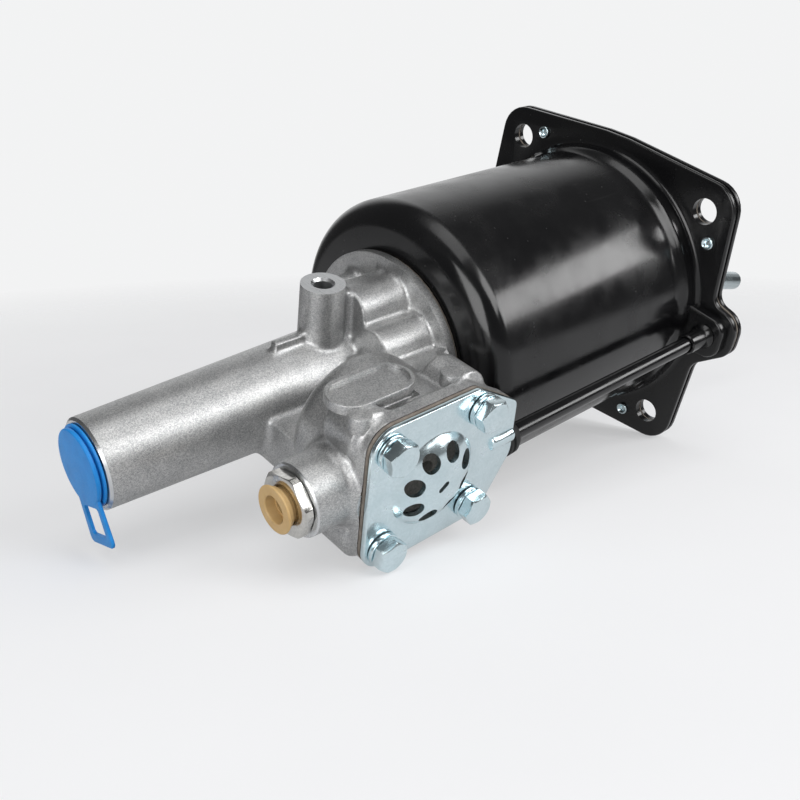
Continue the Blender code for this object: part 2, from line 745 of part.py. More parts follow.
def build_rivets():
    """Tubular rivets, headed on the flange side and flush at the gearbox face."""
    head_x = FLANGE_FRONT_X - GAP
    lip = 0.45 * RIVET_HEAD
    profile = [
        (head_x - 0.4 * RIVET_HEAD_THICK, 0.0),
        (head_x - 0.4 * RIVET_HEAD_THICK, lip),
        (head_x - RIVET_HEAD_THICK, 1.5 * lip),
        (head_x - 0.5 * RIVET_HEAD_THICK, RIVET_HEAD),
        (head_x, RIVET_HEAD),
        (head_x, RIVET_SHANK),
        (-RIVET_SINK, RIVET_SHANK),
        (-RIVET_SINK, RIVET_HEAD),
        (-0.1 * MM, RIVET_HEAD),
        (-0.1 * MM, 0.0),
    ]
    mesh = turned_mesh("rivet", profile, TINY)
    for i, angle in enumerate(around(4, RIVET_ANGLE), start=1):
        place_yz = (0, RIVET_CIRCLE * math.cos(angle), RIVET_CIRCLE * math.sin(angle))
        piece(f"flange_rivet_{i}", mesh.copy(), "zinc_plate", place_yz, ALONG_X)


def housing_body():
    """Disc, tapered nose tube and spigot as one turned solid, still without its bore."""
    profile = [
        (NOSE_X, 0.0),
        (NOSE_X, TUBE_RADIUS_NOSE - TUBE_EDGE),
        (NOSE_X + TUBE_EDGE, TUBE_RADIUS_NOSE),
        (DISC_FRONT_X - 2.0 * MM, TUBE_RADIUS_ROOT),
        (DISC_FRONT_X, TUBE_RADIUS_ROOT + 2.0 * MM),
        (DISC_FRONT_X, DISC_RADIUS - DISC_EDGE),
        (DISC_FRONT_X + DISC_EDGE, DISC_RADIUS),
        (DISC_BACK_X, DISC_RADIUS),
        (DISC_BACK_X, SPIGOT_RADIUS),
        (SPIGOT_END_X, SPIGOT_RADIUS),
        (SPIGOT_END_X, 0.0),
    ]
    return turned("valve_housing", "raw_aluminium", profile, segments=FINE)


def cover_corners(inset=0.0):
    """Outline in (X, Z) of the exhaust cover round the valve axis."""
    left = inset - COVER_LEFT
    top = COVER_TOP - inset
    bottom = inset - COVER_BOTTOM
    right = COVER_RIGHT - inset
    return [
        (left, bottom, COVER_CORNER - inset),
        (BOLT_HALF + 6.5 * MM, bottom, 6.0 * MM - inset),
        (right, -6.0 * MM, 8.0 * MM - inset),
        (right - 1.4 * MM, 14.5 * MM, 4.0 * MM - inset),
        (BOLT_HALF - 1.6 * MM, top, 5.0 * MM - inset),
        (left, top, COVER_CORNER - inset),
    ]


def cover_outline(inset=0.0):
    """Rounded points of the exhaust cover's outline, placed on the valve axis."""
    return rounded_outline(cover_corners(inset))


def valve_station():
    """Location of the valve axis, for shapes that run along -Y."""
    return (VALVE_X, 0.0, VALVE_Z)


def air_duct():
    """Guide solid of the body that carries the air from the valve block to the gallery boss."""
    left = VALVE_X + BOLT_HALF - 6.0 * MM
    right = VALVE_X + BOLT_HALF + BOLT_BOSS_RADIUS - MM
    outer = BLOCK_FLANGE_THICK - BLOCK_REACH
    points = rounded_outline([
        (left, outer, 0.0),
        (right, outer, 0.0),
        (DISC_FRONT_X + MM, -0.86 * DISC_RADIUS, 3.0 * MM),
        (DISC_FRONT_X + MM, GALLERY_Y + 0.5 * GALLERY_BOSS_RADIUS, 0.0),
        (left, GALLERY_Y + 0.5 * GALLERY_BOSS_RADIUS, 0.0),
    ])
    duct = tool("air_duct", plate_mesh("air_duct", points, DUCT_BOTTOM, DUCT_TOP))
    edge = duct.modifiers.new("cast_edge", "BEVEL")
    edge.width = DUCT_EDGE
    edge.segments = 3
    edge.limit_method = "ANGLE"
    edge.angle_limit = math.radians(60)
    return duct


def join_valve_block(housing):
    """Add the barrel, cover flange, bolt bosses, neck, pad and inlet boss."""
    inner = BLOCK_REACH - BARREL_LENGTH
    barrel = [(inner, 0.0), (inner, BARREL_RADIUS - BARREL_EDGE)]
    barrel += arc(inner + BARREL_EDGE, BARREL_RADIUS - BARREL_EDGE, BARREL_EDGE, 180, 90, 4)[1:]
    barrel += [(BLOCK_REACH - 1.5 * MM, BARREL_RADIUS), (BLOCK_REACH - 1.5 * MM, 0.0)]
    join(housing, turned_tool("valve_barrel", barrel, valve_station(), ALONG_MINUS_Y))
    flange = plate_mesh("block_flange", cover_outline(0.5 * MM), BLOCK_REACH - BLOCK_FLANGE_THICK, BLOCK_REACH)
    join(housing, tool("block_flange", flange, valve_station(), ALONG_MINUS_Y))
    for i, (x, z) in enumerate(square_places(BOLT_HALF)):
        start = BLOCK_REACH - BOLT_BOSS_LENGTH
        end = BLOCK_REACH - 0.5 * BLOCK_FLANGE_THICK
        spot = (VALVE_X + x, 0.0, VALVE_Z + z)
        join(housing, rod_tool(f"bolt_boss_{i}", BOLT_BOSS_RADIUS, start, end, spot, ALONG_MINUS_Y))
    front = VALVE_X - BARREL_RADIUS + NECK_FRONT_INSET
    low = (front, -BLOCK_REACH + 0.5 * BARREL_LENGTH, NECK_BOTTOM)
    high = (DISC_FRONT_X - NECK_BACK_GAP, -0.5 * TUBE_RADIUS_NOSE, NECK_TOP)
    join(housing, block_tool("valve_neck", low, high))
    join(housing, air_duct())
    half_length = PAD_LENGTH / 2
    half_width = PAD_WIDTH / 2
    pad = rounded_outline([
        (-half_length, -half_width, half_width),
        (half_length, -half_width, half_width),
        (half_length, half_width, half_width),
        (-half_length, half_width, half_width),
    ])
    pad_spot = (VALVE_X - PAD_SHIFT, -PAD_REACH, 0.0)
    join(housing, tool("oval_pad", plate_mesh("oval_pad", pad, VALVE_Z, PAD_TOP), pad_spot))
    ring_start = VALVE_X - INLET_RING_SETBACK - INLET_RING_THICK
    inlet = [
        (INLET_END_X, 0.0),
        (INLET_END_X, INLET_BOSS_RADIUS - 0.5 * MM),
        (INLET_END_X + 0.5 * MM, INLET_BOSS_RADIUS),
        (ring_start, INLET_BOSS_RADIUS + 0.3 * MM),
        (ring_start + 0.6 * MM, INLET_RING_RADIUS),
        (ring_start + INLET_RING_THICK, INLET_RING_RADIUS),
        (ring_start + INLET_RING_THICK + MM, INLET_BOSS_RADIUS),
        (VALVE_X - VALVE_BORE_RADIUS - MM, INLET_BOSS_RADIUS),
        (VALVE_X - VALVE_BORE_RADIUS - MM, 0.0),
    ]
    join(housing, turned_tool("inlet_boss", inlet, (0, -INLET_REACH, INLET_Z)))


def join_disc_bosses(housing):
    """Add the screw bosses, the air gallery, the web between them and the bleeder boss."""
    for i, (y, z) in enumerate(screw_places()):
        join(housing, rod_tool(f"screw_boss_{i}", SCREW_BOSS_RADIUS, BOSS_END_X, DISC_FRONT_X + MM, (0, y, z)))
    join(housing, rod_tool(
        "gallery_boss", GALLERY_BOSS_RADIUS, BOSS_END_X - MM, DISC_FRONT_X + MM, (0, GALLERY_Y, GALLERY_Z)
    ))
    side_start = DISC_FRONT_X - SIDE_BOSS_LENGTH
    join(housing, rod_tool(
        "side_boss", SIDE_BOSS_RADIUS, side_start, DISC_FRONT_X + MM, (0, SIDE_BOSS_Y, SIDE_BOSS_Z)
    ))
    core = [Vector(uv) for uv in (
        (0.0, 0.0), (0.0, SCREW_CIRCLE), screw_places()[0], (GALLERY_Y, GALLERY_Z), (GALLERY_Y, 0.0)
    )]
    join(housing, tool(
        "boss_core", plate_mesh("boss_core", core, BOSS_END_X + CORE_INSET, DISC_FRONT_X + MM),
        rotation=ALONG_X,
    ))
    join(housing, rod_tool(
        "bleeder_boss", BLEEDER_RADIUS, 0.0, BLEEDER_TOP, (BLEEDER_X, 0, 0), ALONG_Z, segments=MIDDLE
    ))
    join(housing, block_tool(
        "bleeder_wall",
        (BLEEDER_X, -BLEEDER_WALL_HALF, 0.0),
        (DISC_FRONT_X + MM, BLEEDER_WALL_HALF, BLEEDER_TOP - BLEEDER_WALL_DROP),
    ))
    join(housing, block_tool(
        "tube_rib",
        (BLEEDER_X - TUBE_RIB_LENGTH, -TUBE_RIB_HALF, 0.0),
        (BLEEDER_X, TUBE_RIB_HALF, TUBE_RIB_TOP),
    ))


def cut_housing_bores(housing):
    """Cut the hydraulic bore, the relay valve's bores and every passage between them."""
    step_x = SPIGOT_END_X - STEP_DEPTH
    clip_x = SPIGOT_END_X - 2.0 * MM
    bore = [
        (NOSE_X - MM, 0.0),
        (NOSE_X - MM, PORT_RADIUS),
        (NOSE_X + PORT_DEPTH, PORT_RADIUS),
        (NOSE_X + BORE_END_WALL, PLUNGER_BORE),
        (step_x, PLUNGER_BORE),
        (step_x, STEP_RADIUS),
        (clip_x - CLIP_THICK - GAP, STEP_RADIUS),
        (clip_x - CLIP_THICK - GAP, STEP_RADIUS + CLIP_GROOVE),
        (clip_x, STEP_RADIUS + CLIP_GROOVE),
        (clip_x, STEP_RADIUS),
        (SPIGOT_END_X + MM, STEP_RADIUS),
        (SPIGOT_END_X + MM, 0.0),
    ]
    cut(housing, turned_tool("hydraulic_bore", bore))
    relay_bore = RELAY_RADIUS + GAP
    valve = [
        (BLOCK_REACH + MM, 0.0),
        (BLOCK_REACH + MM, CHAMBER_RADIUS),
        (BLOCK_REACH - CHAMBER_DEPTH, CHAMBER_RADIUS),
        (BLOCK_REACH - CHAMBER_DEPTH, VALVE_BORE_RADIUS),
        (BLOCK_REACH - VALVE_BORE_DEPTH, VALVE_BORE_RADIUS),
        (BLOCK_REACH - VALVE_BORE_DEPTH, relay_bore),
        (BLOCK_REACH - RELAY_BORE_DEPTH, relay_bore),
        (BLOCK_REACH - RELAY_BORE_DEPTH, 0.0),
    ]
    cut(housing, turned_tool("valve_bore", valve, valve_station(), ALONG_MINUS_Y))
    inlet = [
        (INLET_END_X - MM, 0.0),
        (INLET_END_X - MM, INLET_THREAD_RADIUS + GAP),
        (INLET_END_X + INLET_THREAD_LENGTH + GAP, INLET_THREAD_RADIUS + GAP),
        (INLET_END_X + INLET_THREAD_LENGTH + GAP, INLET_PASSAGE_RADIUS),
        (VALVE_X, INLET_PASSAGE_RADIUS),
        (VALVE_X, 0.0),
    ]
    cut(housing, turned_tool("inlet_bore", inlet, (0, -INLET_REACH, INLET_Z), segments=SMALL))
    pressure_start = 0.5 * PLUNGER_BORE
    pressure_end = BLOCK_REACH - RELAY_BORE_DEPTH + MM
    cut(housing, rod_tool(
        "pressure_hole", 1.6 * MM, pressure_start, pressure_end, valve_station(), ALONG_MINUS_Y, TINY
    ))
    gallery_start = BOSS_END_X + 2.0 * MM
    cut(housing, rod_tool(
        "gallery_hole", GALLERY_HOLE_RADIUS, gallery_start, DISC_BACK_X + MM, (0, GALLERY_Y, GALLERY_Z)
    ))
    near = Vector((gallery_start + 2.0 * MM, GALLERY_Y, GALLERY_Z))
    far = Vector((VALVE_X + 0.5 * VALVE_BORE_RADIUS, -(SEAT_INNER - 2.0 * MM), VALVE_Z + 0.4 * VALVE_BORE_RADIUS))
    slant = (far - near)
    turn = slant.to_track_quat("Z", "Y").to_euler()
    cut(housing, rod_tool("delivery_hole", 2.6 * MM, 0.0, slant.length, near, turn, TINY))
    cut(housing, rod_tool(
        "pipe_socket",
        PIPE_RADIUS + GAP,
        VALVE_X + 0.5 * CHAMBER_RADIUS,
        BLOCK_RIGHT_X + MM,
        (0, PIPE_Y, PIPE_Z),
    ))
    bleeder = [
        (0.5 * PLUNGER_BORE, 0.0),
        (0.5 * PLUNGER_BORE, BLEEDER_HOLE_RADIUS),
        (BLEEDER_TOP - BLEEDER_CHAMFER, BLEEDER_HOLE_RADIUS),
        (BLEEDER_TOP + MM, BLEEDER_HOLE_RADIUS + BLEEDER_CHAMFER + MM),
        (BLEEDER_TOP + MM, 0.0),
    ]
    cut(housing, turned_tool("bleeder_hole", bleeder, (BLEEDER_X, 0, 0), ALONG_Z, SMALL))
    for i, (x, z) in enumerate(square_places(BOLT_HALF)):
        start = HEAD_SEAT - BOLT_LENGTH - GAP
        spot = (VALVE_X + x, 0.0, VALVE_Z + z)
        cut(housing, rod_tool(
            f"bolt_hole_{i}", BOLT_RADIUS + GAP, start, BLOCK_REACH + MM, spot, ALONG_MINUS_Y, TINY
        ))
    screw_end = POT_FLOOR_X + GAP - SCREW_LENGTH - GAP
    for i, (y, z) in enumerate(screw_places()):
        cut(housing, rod_tool(f"screw_hole_{i}", SCREW_RADIUS + GAP, screw_end, DISC_BACK_X + MM, (0, y, z)))
    rim_half_length = PAD_LENGTH / 2 - PAD_RIM
    rim_half_width = PAD_WIDTH / 2 - PAD_RIM
    recess = rounded_outline([
        (-rim_half_length, -rim_half_width, rim_half_width),
        (rim_half_length, -rim_half_width, rim_half_width),
        (rim_half_length, rim_half_width, rim_half_width),
        (-rim_half_length, rim_half_width, rim_half_width),
    ])
    pad_spot = (VALVE_X - PAD_SHIFT, -PAD_REACH, 0.0)
    cut(housing, tool(
        "pad_recess", plate_mesh("pad_recess", recess, PAD_TOP - PAD_RIM_HEIGHT, PAD_TOP + MM), pad_spot
    ))


def build_housing():
    """The die-cast housing with everything cast on it and bored in it."""
    housing = housing_body()
    join_disc_bosses(housing)
    weld(housing)
    join_valve_block(housing)
    weld(housing)
    cut_housing_bores(housing)
    weld(housing)
    return housing


def build_housing_gasket():
    """Flat gasket between the housing disc and the pot."""
    front = DISC_BACK_X + GAP
    back = front + HOUSING_GASKET_THICK
    outer = DISC_RADIUS - HOUSING_GASKET_INSET
    inner = SPIGOT_RADIUS + GAP
    gasket = turned(
        "housing_gasket", "gasket_paper", [(front, inner), (front, outer), (back, outer), (back, inner)],
        segments=FINE,
    )
    for i, (y, z) in enumerate(screw_places()):
        cut(gasket, rod_tool(f"gasket_screw_hole_{i}", SCREW_RADIUS + GAP, front - MM, back + MM, (0, y, z)))
    cut(gasket, rod_tool(
        "gasket_air_hole", GALLERY_HOLE_RADIUS, front - MM, back + MM, (0, GALLERY_Y, GALLERY_Z)
    ))
    return gasket


def hex_prism(name, flats, start, end):
    """A six-sided guide solid along Z."""
    mesh = bpy.data.meshes.new(name)
    work = bmesh.new()
    radius = flats / math.sqrt(3)
    bmesh.ops.create_cone(
        work, cap_ends=True, segments=6, radius1=radius, radius2=radius, depth=end - start
    )
    bmesh.ops.translate(work, vec=(0, 0, (start + end) / 2), verts=work.verts)
    work.to_mesh(mesh)
    work.free()
    return tool(name, mesh)


def hex_bolt_mesh(name, flats, head_height, radius, length):
    """Hexagon bolt standing on Z: head upward from zero, shank downward, chamfered head."""
    head = hex_prism(f"{name}_head", flats, 0.0, head_height)
    corner = flats / math.sqrt(3)
    drop = 0.18 * head_height
    bell = turned_tool(
        f"{name}_bell",
        [
            (-MM, 0.0),
            (-MM, corner + MM),
            (head_height - drop, corner + 0.2 * MM),
            (head_height, 0.47 * flats),
            (head_height, 0.0),
        ],
        rotation=ALONG_Z,
        segments=SMALL,
    )
    boolean(head, bell, "INTERSECT")
    shank = turned_tool(
        f"{name}_shank",
        [
            (-length, 0.0),
            (-length, 0.8 * radius),
            (-length + 0.2 * radius, radius),
            (0.3 * head_height, radius),
            (0.3 * head_height, 0.0),
        ],
        rotation=ALONG_Z,
        segments=TINY,
    )
    join(head, shank)
    mesh = baked(head)
    for helper in (bell, shank):
        bpy.data.objects.remove(helper, do_unlink=True)
    smooth(mesh)
    return mesh


def build_housing_screws():
    """Screws inside the pot that clamp the housing to its front wall."""
    mesh = hex_bolt_mesh("housing_screw", SCREW_HEAD_FLATS, SCREW_HEAD_HEIGHT, SCREW_RADIUS, SCREW_LENGTH)
    for i, (y, z) in enumerate(screw_places(), start=1):
        piece(f"housing_screw_{i}", mesh.copy(), "zinc_plate", (POT_FLOOR_X + GAP, y, z), ALONG_X)


def build_exhaust_cover():
    """Pressed cover plate with the perforated dome, centre slot and embossed tab."""
    cover = piece(
        "exhaust_cover",
        plate_mesh("exhaust_cover", cover_outline(), COVER_INNER, COVER_OUTER),
        "zinc_plate",
        valve_station(),
        ALONG_MINUS_Y,
    )
    mouth = DOME_RADIUS - DOME_WALL
    cut(cover, rod_tool(
        "dome_window", mouth, COVER_INNER - MM, COVER_OUTER + MM, valve_station(), ALONG_MINUS_Y, MIDDLE
    ))
    top = COVER_OUTER + DOME_HEIGHT
    sheet = 0.25 * COVER_THICK
    dome = [
        (COVER_INNER + sheet, mouth - 0.2 * MM),
        (COVER_INNER + sheet, DOME_RADIUS + 2 * MM),
        (COVER_OUTER - sheet, DOME_RADIUS + 2 * MM),
        (COVER_OUTER + 0.25 * MM, DOME_RADIUS),
        (COVER_OUTER + 0.45 * DOME_HEIGHT, 0.86 * DOME_RADIUS),
        (COVER_OUTER + 0.88 * DOME_HEIGHT, 1.18 * DOME_TOP_RADIUS),
        (top, 0.8 * DOME_TOP_RADIUS),
        (top, 0.0),
        (top - DOME_WALL, 0.0),
        (top - DOME_WALL, 0.72 * DOME_TOP_RADIUS),
        (COVER_OUTER + 0.88 * DOME_HEIGHT - DOME_WALL, DOME_TOP_RADIUS),
        (COVER_OUTER + 0.45 * DOME_HEIGHT - DOME_WALL, 0.78 * DOME_RADIUS),
    ]
    join(cover, turned_tool("dome", dome, valve_station(), ALONG_MINUS_Y))
    tab_x = VALVE_X + COVER_RIGHT
    tab_y = TAB_RISE - TAB_RADIUS + COVER_OUTER
    tab = [
        (tab_x - TAB_LENGTH, 0.0),
        (tab_x - TAB_LENGTH, 0.5 * TAB_RADIUS),
        (tab_x - TAB_LENGTH + 0.5 * TAB_RADIUS, TAB_RADIUS),
        (tab_x - 0.9 * MM, TAB_RADIUS),
        (tab_x - 0.9 * MM, 0.0),
    ]
    tab_tool = turned_tool("embossed_tab", tab, (0, -tab_y, VALVE_Z + TAB_OFFSET_Z), segments=SMALL)
    back = block_tool(
        "tab_trim",
        (tab_x - 2 * TAB_LENGTH, -COVER_INNER - 0.3 * COVER_THICK, VALVE_Z - 4 * TAB_RADIUS),
        (tab_x + TAB_LENGTH, -COVER_INNER + 4 * TAB_RADIUS, VALVE_Z + 4 * TAB_RADIUS),
    )
    cut(tab_tool, back)
    join(cover, tab_tool)
    for i, angle in enumerate(around(DOME_HOLE_COUNT, DOME_HOLE_ANGLE)):
        x = VALVE_X + DOME_HOLE_CIRCLE * math.cos(angle)
        z = VALVE_Z + DOME_HOLE_CIRCLE * math.sin(angle)
        cut(cover, rod_tool(
            f"dome_hole_{i}", DOME_HOLE_RADIUS, COVER_OUTER - 0.5 * COVER_THICK, top + MM, (x, 0, z),
            ALONG_MINUS_Y, TINY,
        ))
    slot = rounded_outline([
        (-DOME_SLOT_LENGTH / 2, -DOME_SLOT_WIDTH / 2, 0.45 * DOME_SLOT_WIDTH),
        (DOME_SLOT_LENGTH / 2, -DOME_SLOT_WIDTH / 2, 0.45 * DOME_SLOT_WIDTH),
        (DOME_SLOT_LENGTH / 2, DOME_SLOT_WIDTH / 2, 0.45 * DOME_SLOT_WIDTH),
        (-DOME_SLOT_LENGTH / 2, DOME_SLOT_WIDTH / 2, 0.45 * DOME_SLOT_WIDTH),
    ], steps=3)
    turned_slot = [
        (
            u * math.cos(DOME_SLOT_ANGLE) - v * math.sin(DOME_SLOT_ANGLE),
            u * math.sin(DOME_SLOT_ANGLE) + v * math.cos(DOME_SLOT_ANGLE),
        )
        for u, v in slot
    ]
    cut(cover, tool(
        "dome_slot", plate_mesh("dome_slot", turned_slot, COVER_OUTER, top + MM), valve_station(), ALONG_MINUS_Y
    ))
    for i, (x, z) in enumerate(square_places(BOLT_HALF)):
        spot = (VALVE_X + x, 0.0, VALVE_Z + z)
        cut(cover, rod_tool(
            f"cover_hole_{i}", BOLT_RADIUS + GAP, COVER_INNER - MM, COVER_OUTER + MM, spot, ALONG_MINUS_Y, TINY
        ))
    return cover


def build_cover_gasket():
    """Gasket under the exhaust cover."""
    inner = BLOCK_REACH + GAP
    outer = inner + COVER_GASKET_THICK
    gasket = piece(
        "cover_gasket",
        plate_mesh("cover_gasket", cover_outline(0.2 * MM), inner, outer),
        "gasket_paper",
        valve_station(),
        ALONG_MINUS_Y,
    )
    cut(gasket, rod_tool("gasket_mouth", CHAMBER_RADIUS, inner - MM, outer + MM, valve_station(), ALONG_MINUS_Y))
    for i, (x, z) in enumerate(square_places(BOLT_HALF)):
        spot = (VALVE_X + x, 0.0, VALVE_Z + z)
        cut(gasket, rod_tool(
            f"cover_gasket_hole_{i}", BOLT_RADIUS + GAP, inner - MM, outer + MM, spot, ALONG_MINUS_Y, TINY
        ))
    return gasket


def build_cover_bolts():
    """Four bolts with split spring washers on the exhaust cover."""
    bolt = hex_bolt_mesh("cover_bolt", BOLT_FLATS, BOLT_HEAD_HEIGHT, BOLT_RADIUS, BOLT_LENGTH)
    start = COVER_OUTER + GAP
    end = start + WASHER_THICK
    ring = [
        (start, BOLT_RADIUS + GAP),
        (start, WASHER_RADIUS),
        (end, WASHER_RADIUS),
        (end, BOLT_RADIUS + GAP),
    ]
    for i, (x, z) in enumerate(square_places(BOLT_HALF), start=1):
        spot = (VALVE_X + x, -HEAD_SEAT, VALVE_Z + z)
        piece(f"cover_bolt_{i}", bolt.copy(), "zinc_plate", spot, ALONG_MINUS_Y)
        washer = turned(
            f"spring_washer_{i}", "zinc_plate", ring, (VALVE_X + x, 0, VALVE_Z + z), ALONG_MINUS_Y, SMALL
        )
        cut(washer, block_tool(
            f"washer_split_{i}",
            (VALVE_X + x - WASHER_SPLIT / 2, -end - MM, VALVE_Z + z),
            (VALVE_X + x + WASHER_SPLIT / 2, -start + MM, VALVE_Z + z + 2 * WASHER_RADIUS),
        ))


def build_inlet():
    """Push-in fitting, its tube seal and the release collet."""
    spot = (0.0, -INLET_REACH, INLET_Z)
    thread_end = INLET_END_X + INLET_THREAD_LENGTH
    seal_x = INLET_END_X + 0.55 * INLET_THREAD_LENGTH
    body = [
        (HEX_FRONT_X + MM, 0.0),
        (HEX_FRONT_X + MM, TUBE_SOCKET_RADIUS),
        (HEX_BACK_X, FITTING_COLLAR_RADIUS - 0.4 * MM),
        (HEX_BACK_X, FITTING_COLLAR_RADIUS),
        (INLET_END_X - GAP, FITTING_COLLAR_RADIUS),
        (INLET_END_X - GAP, INLET_THREAD_RADIUS),
        (thread_end, INLET_THREAD_RADIUS),
        (thread_end, 0.0),
    ]
    fitting = turned("inlet_fitting", "nickel", body, spot, segments=SMALL)
    hexagon = hex_prism("fitting_hex", FITTING_FLATS, HEX_FRONT_X, HEX_BACK_X + 0.2 * MM)
    hexagon.location = spot
    hexagon.rotation_euler = ALONG_X
    corner = FITTING_FLATS / math.sqrt(3)
    bell = turned_tool(
        "fitting_bell",
        [
            (HEX_FRONT_X, 0.0),
            (HEX_FRONT_X, 0.49 * FITTING_FLATS),
            (HEX_FRONT_X + 0.7 * MM, corner + 0.1 * MM),
            (HEX_BACK_X + MM, corner + MM),
            (HEX_BACK_X + MM, 0.0),
        ],
        spot,
    )
    boolean(hexagon, bell, "INTERSECT")
    join(fitting, hexagon)
    socket_end = seal_x + 2 * TUBE_RING_WIRE
    socket = [
        (HEX_FRONT_X - MM, 0.0),
        (HEX_FRONT_X - MM, TUBE_SOCKET_RADIUS),
        (socket_end, TUBE_SOCKET_RADIUS),
        (socket_end, INLET_PASSAGE_RADIUS - 0.6 * MM),
        (thread_end + MM, INLET_PASSAGE_RADIUS - 0.6 * MM),
        (thread_end + MM, 0.0),
    ]
    cut(fitting, turned_tool("fitting_socket", socket, spot))
    neck = TUBE_SOCKET_RADIUS - GAP
    flange_front = COLLET_FLANGE_X - COLLET_FLANGE_THICK
    neck_end = COLLET_FLANGE_X + COLLET_NECK_LENGTH
    turned(
        "inlet_collet",
        "tan_plastic",
        [
            (flange_front, COLLET_BORE_RADIUS + 0.5 * MM),
            (flange_front, COLLET_FLANGE_RADIUS - 0.3 * MM),
            (flange_front + 0.3 * MM, COLLET_FLANGE_RADIUS),
            (COLLET_FLANGE_X, COLLET_FLANGE_RADIUS),
            (COLLET_FLANGE_X, neck),
            (neck_end, neck),
            (neck_end, COLLET_BORE_RADIUS),
            (flange_front + 0.5 * MM, COLLET_BORE_RADIUS),
        ],
        spot,
    )
    middle = TUBE_SOCKET_RADIUS - 0.1 * MM - TUBE_RING_WIRE
    turned(
        "inlet_tube_seal",
        "black_rubber",
        arc(seal_x + 0.6 * MM, middle, TUBE_RING_WIRE, 0, 315, 7),
        spot,
        segments=SMALL,
    )


def build_pipe():
    """Breather pipe with its rubber grommet and steel sleeve."""
    start = BLOCK_RIGHT_X - PIPE_SEAT
    end = FLANGE_FRONT_X - 0.3 * HUMP_HEIGHT
    spot = (0.0, PIPE_Y, PIPE_Z)
    bore = PIPE_RADIUS - PIPE_WALL
    turned(
        "air_pipe",
        "black_enamel",
        [(start, bore), (start, PIPE_RADIUS), (end, PIPE_RADIUS), (end, bore)],
        spot,
        segments=SMALL,
    )
    sleeve_end = HUMP_FRONT_X - GAP
    sleeve_start = sleeve_end - SLEEVE_LENGTH
    turned(
        "pipe_sleeve",
        "black_enamel",
        [
            (sleeve_start, PIPE_RADIUS + GAP),
            (sleeve_start, SLEEVE_RADIUS - 0.3 * MM),
            (sleeve_start + 0.4 * MM, SLEEVE_RADIUS),
            (sleeve_end - 1.4 * MM, SLEEVE_RADIUS),
            (sleeve_end, SLEEVE_RADIUS + 1.2 * MM),
            (sleeve_end, PIPE_RADIUS + GAP),
        ],
        spot,
        segments=SMALL,
    )
    grommet_start = BLOCK_RIGHT_X + GAP
    grommet_end = grommet_start + GROMMET_LENGTH
    turned(
        "pipe_grommet",
        "black_rubber",
        [
            (grommet_start, PIPE_RADIUS + GAP),
            (grommet_start, GROMMET_RADIUS - 0.5 * MM),
            (grommet_start + 0.5 * MM, GROMMET_RADIUS),
            (grommet_end - 2.4 * MM, GROMMET_RADIUS),
            (grommet_end, PIPE_RADIUS + 1.4 * MM),
            (grommet_end, PIPE_RADIUS + GAP),
        ],
        spot,
        segments=SMALL,
    )


def build_dust_cap():
    """Blue cap: plug, seal flange, face disc and the pull loop hanging from the disc."""
    seal_back = NOSE_X - GAP
    seal_front = seal_back - CAP_SEAL_THICK
    neck_front = seal_front - CAP_NECK_LENGTH
    disc_front = neck_front - CAP_DISC_THICK
    plug = PORT_RADIUS - GAP
    profile = [
        (disc_front, 0.0),
        (disc_front, CAP_DISC_RADIUS - 0.5 * MM),
        (disc_front + 0.5 * MM, CAP_DISC_RADIUS),
        (neck_front, CAP_DISC_RADIUS),
        (neck_front, CAP_NECK_RADIUS),
        (seal_front, CAP_NECK_RADIUS),
        (seal_front, CAP_SEAL_RADIUS),
        (seal_back, CAP_SEAL_RADIUS),
        (seal_back, plug),
        (seal_back + CAP_PLUG_LENGTH - MM, plug),
        (seal_back + CAP_PLUG_LENGTH, plug - MM),
        (seal_back + CAP_PLUG_LENGTH, 0.0),
    ]
    cap = turned("dust_cap", "blue_plastic", profile)
    half = STRAP_WIDTH / 2
    inner_half = half - STRAP_BAR
    root = CAP_NECK_RADIUS - 4.0 * MM
    strap = rounded_outline([
        (-half, -root, MM), (half, -root, MM), (half, -STRAP_REACH, 2 * MM), (-half, -STRAP_REACH, 2 * MM)
    ], steps=4)
    gap = rounded_outline([
        (-inner_half, -CAP_DISC_RADIUS, MM),
        (inner_half, -CAP_DISC_RADIUS, MM),
        (inner_half, STRAP_BAR - STRAP_REACH, MM),
        (-inner_half, STRAP_BAR - STRAP_REACH, MM),
    ], steps=4)
    turn = (ALONG_X[0], STRAP_ANGLE, ALONG_X[2])
    loop_front = disc_front + 0.2 * MM
    loop_back = neck_front - 0.1 * MM
    join(cap, tool("pull_strap", plate_mesh("pull_strap", strap, loop_front, loop_back), rotation=turn))
    cut(cap, tool("pull_gap", plate_mesh("pull_gap", gap, disc_front - MM, seal_front - 0.05 * MM), rotation=turn))
    return cap


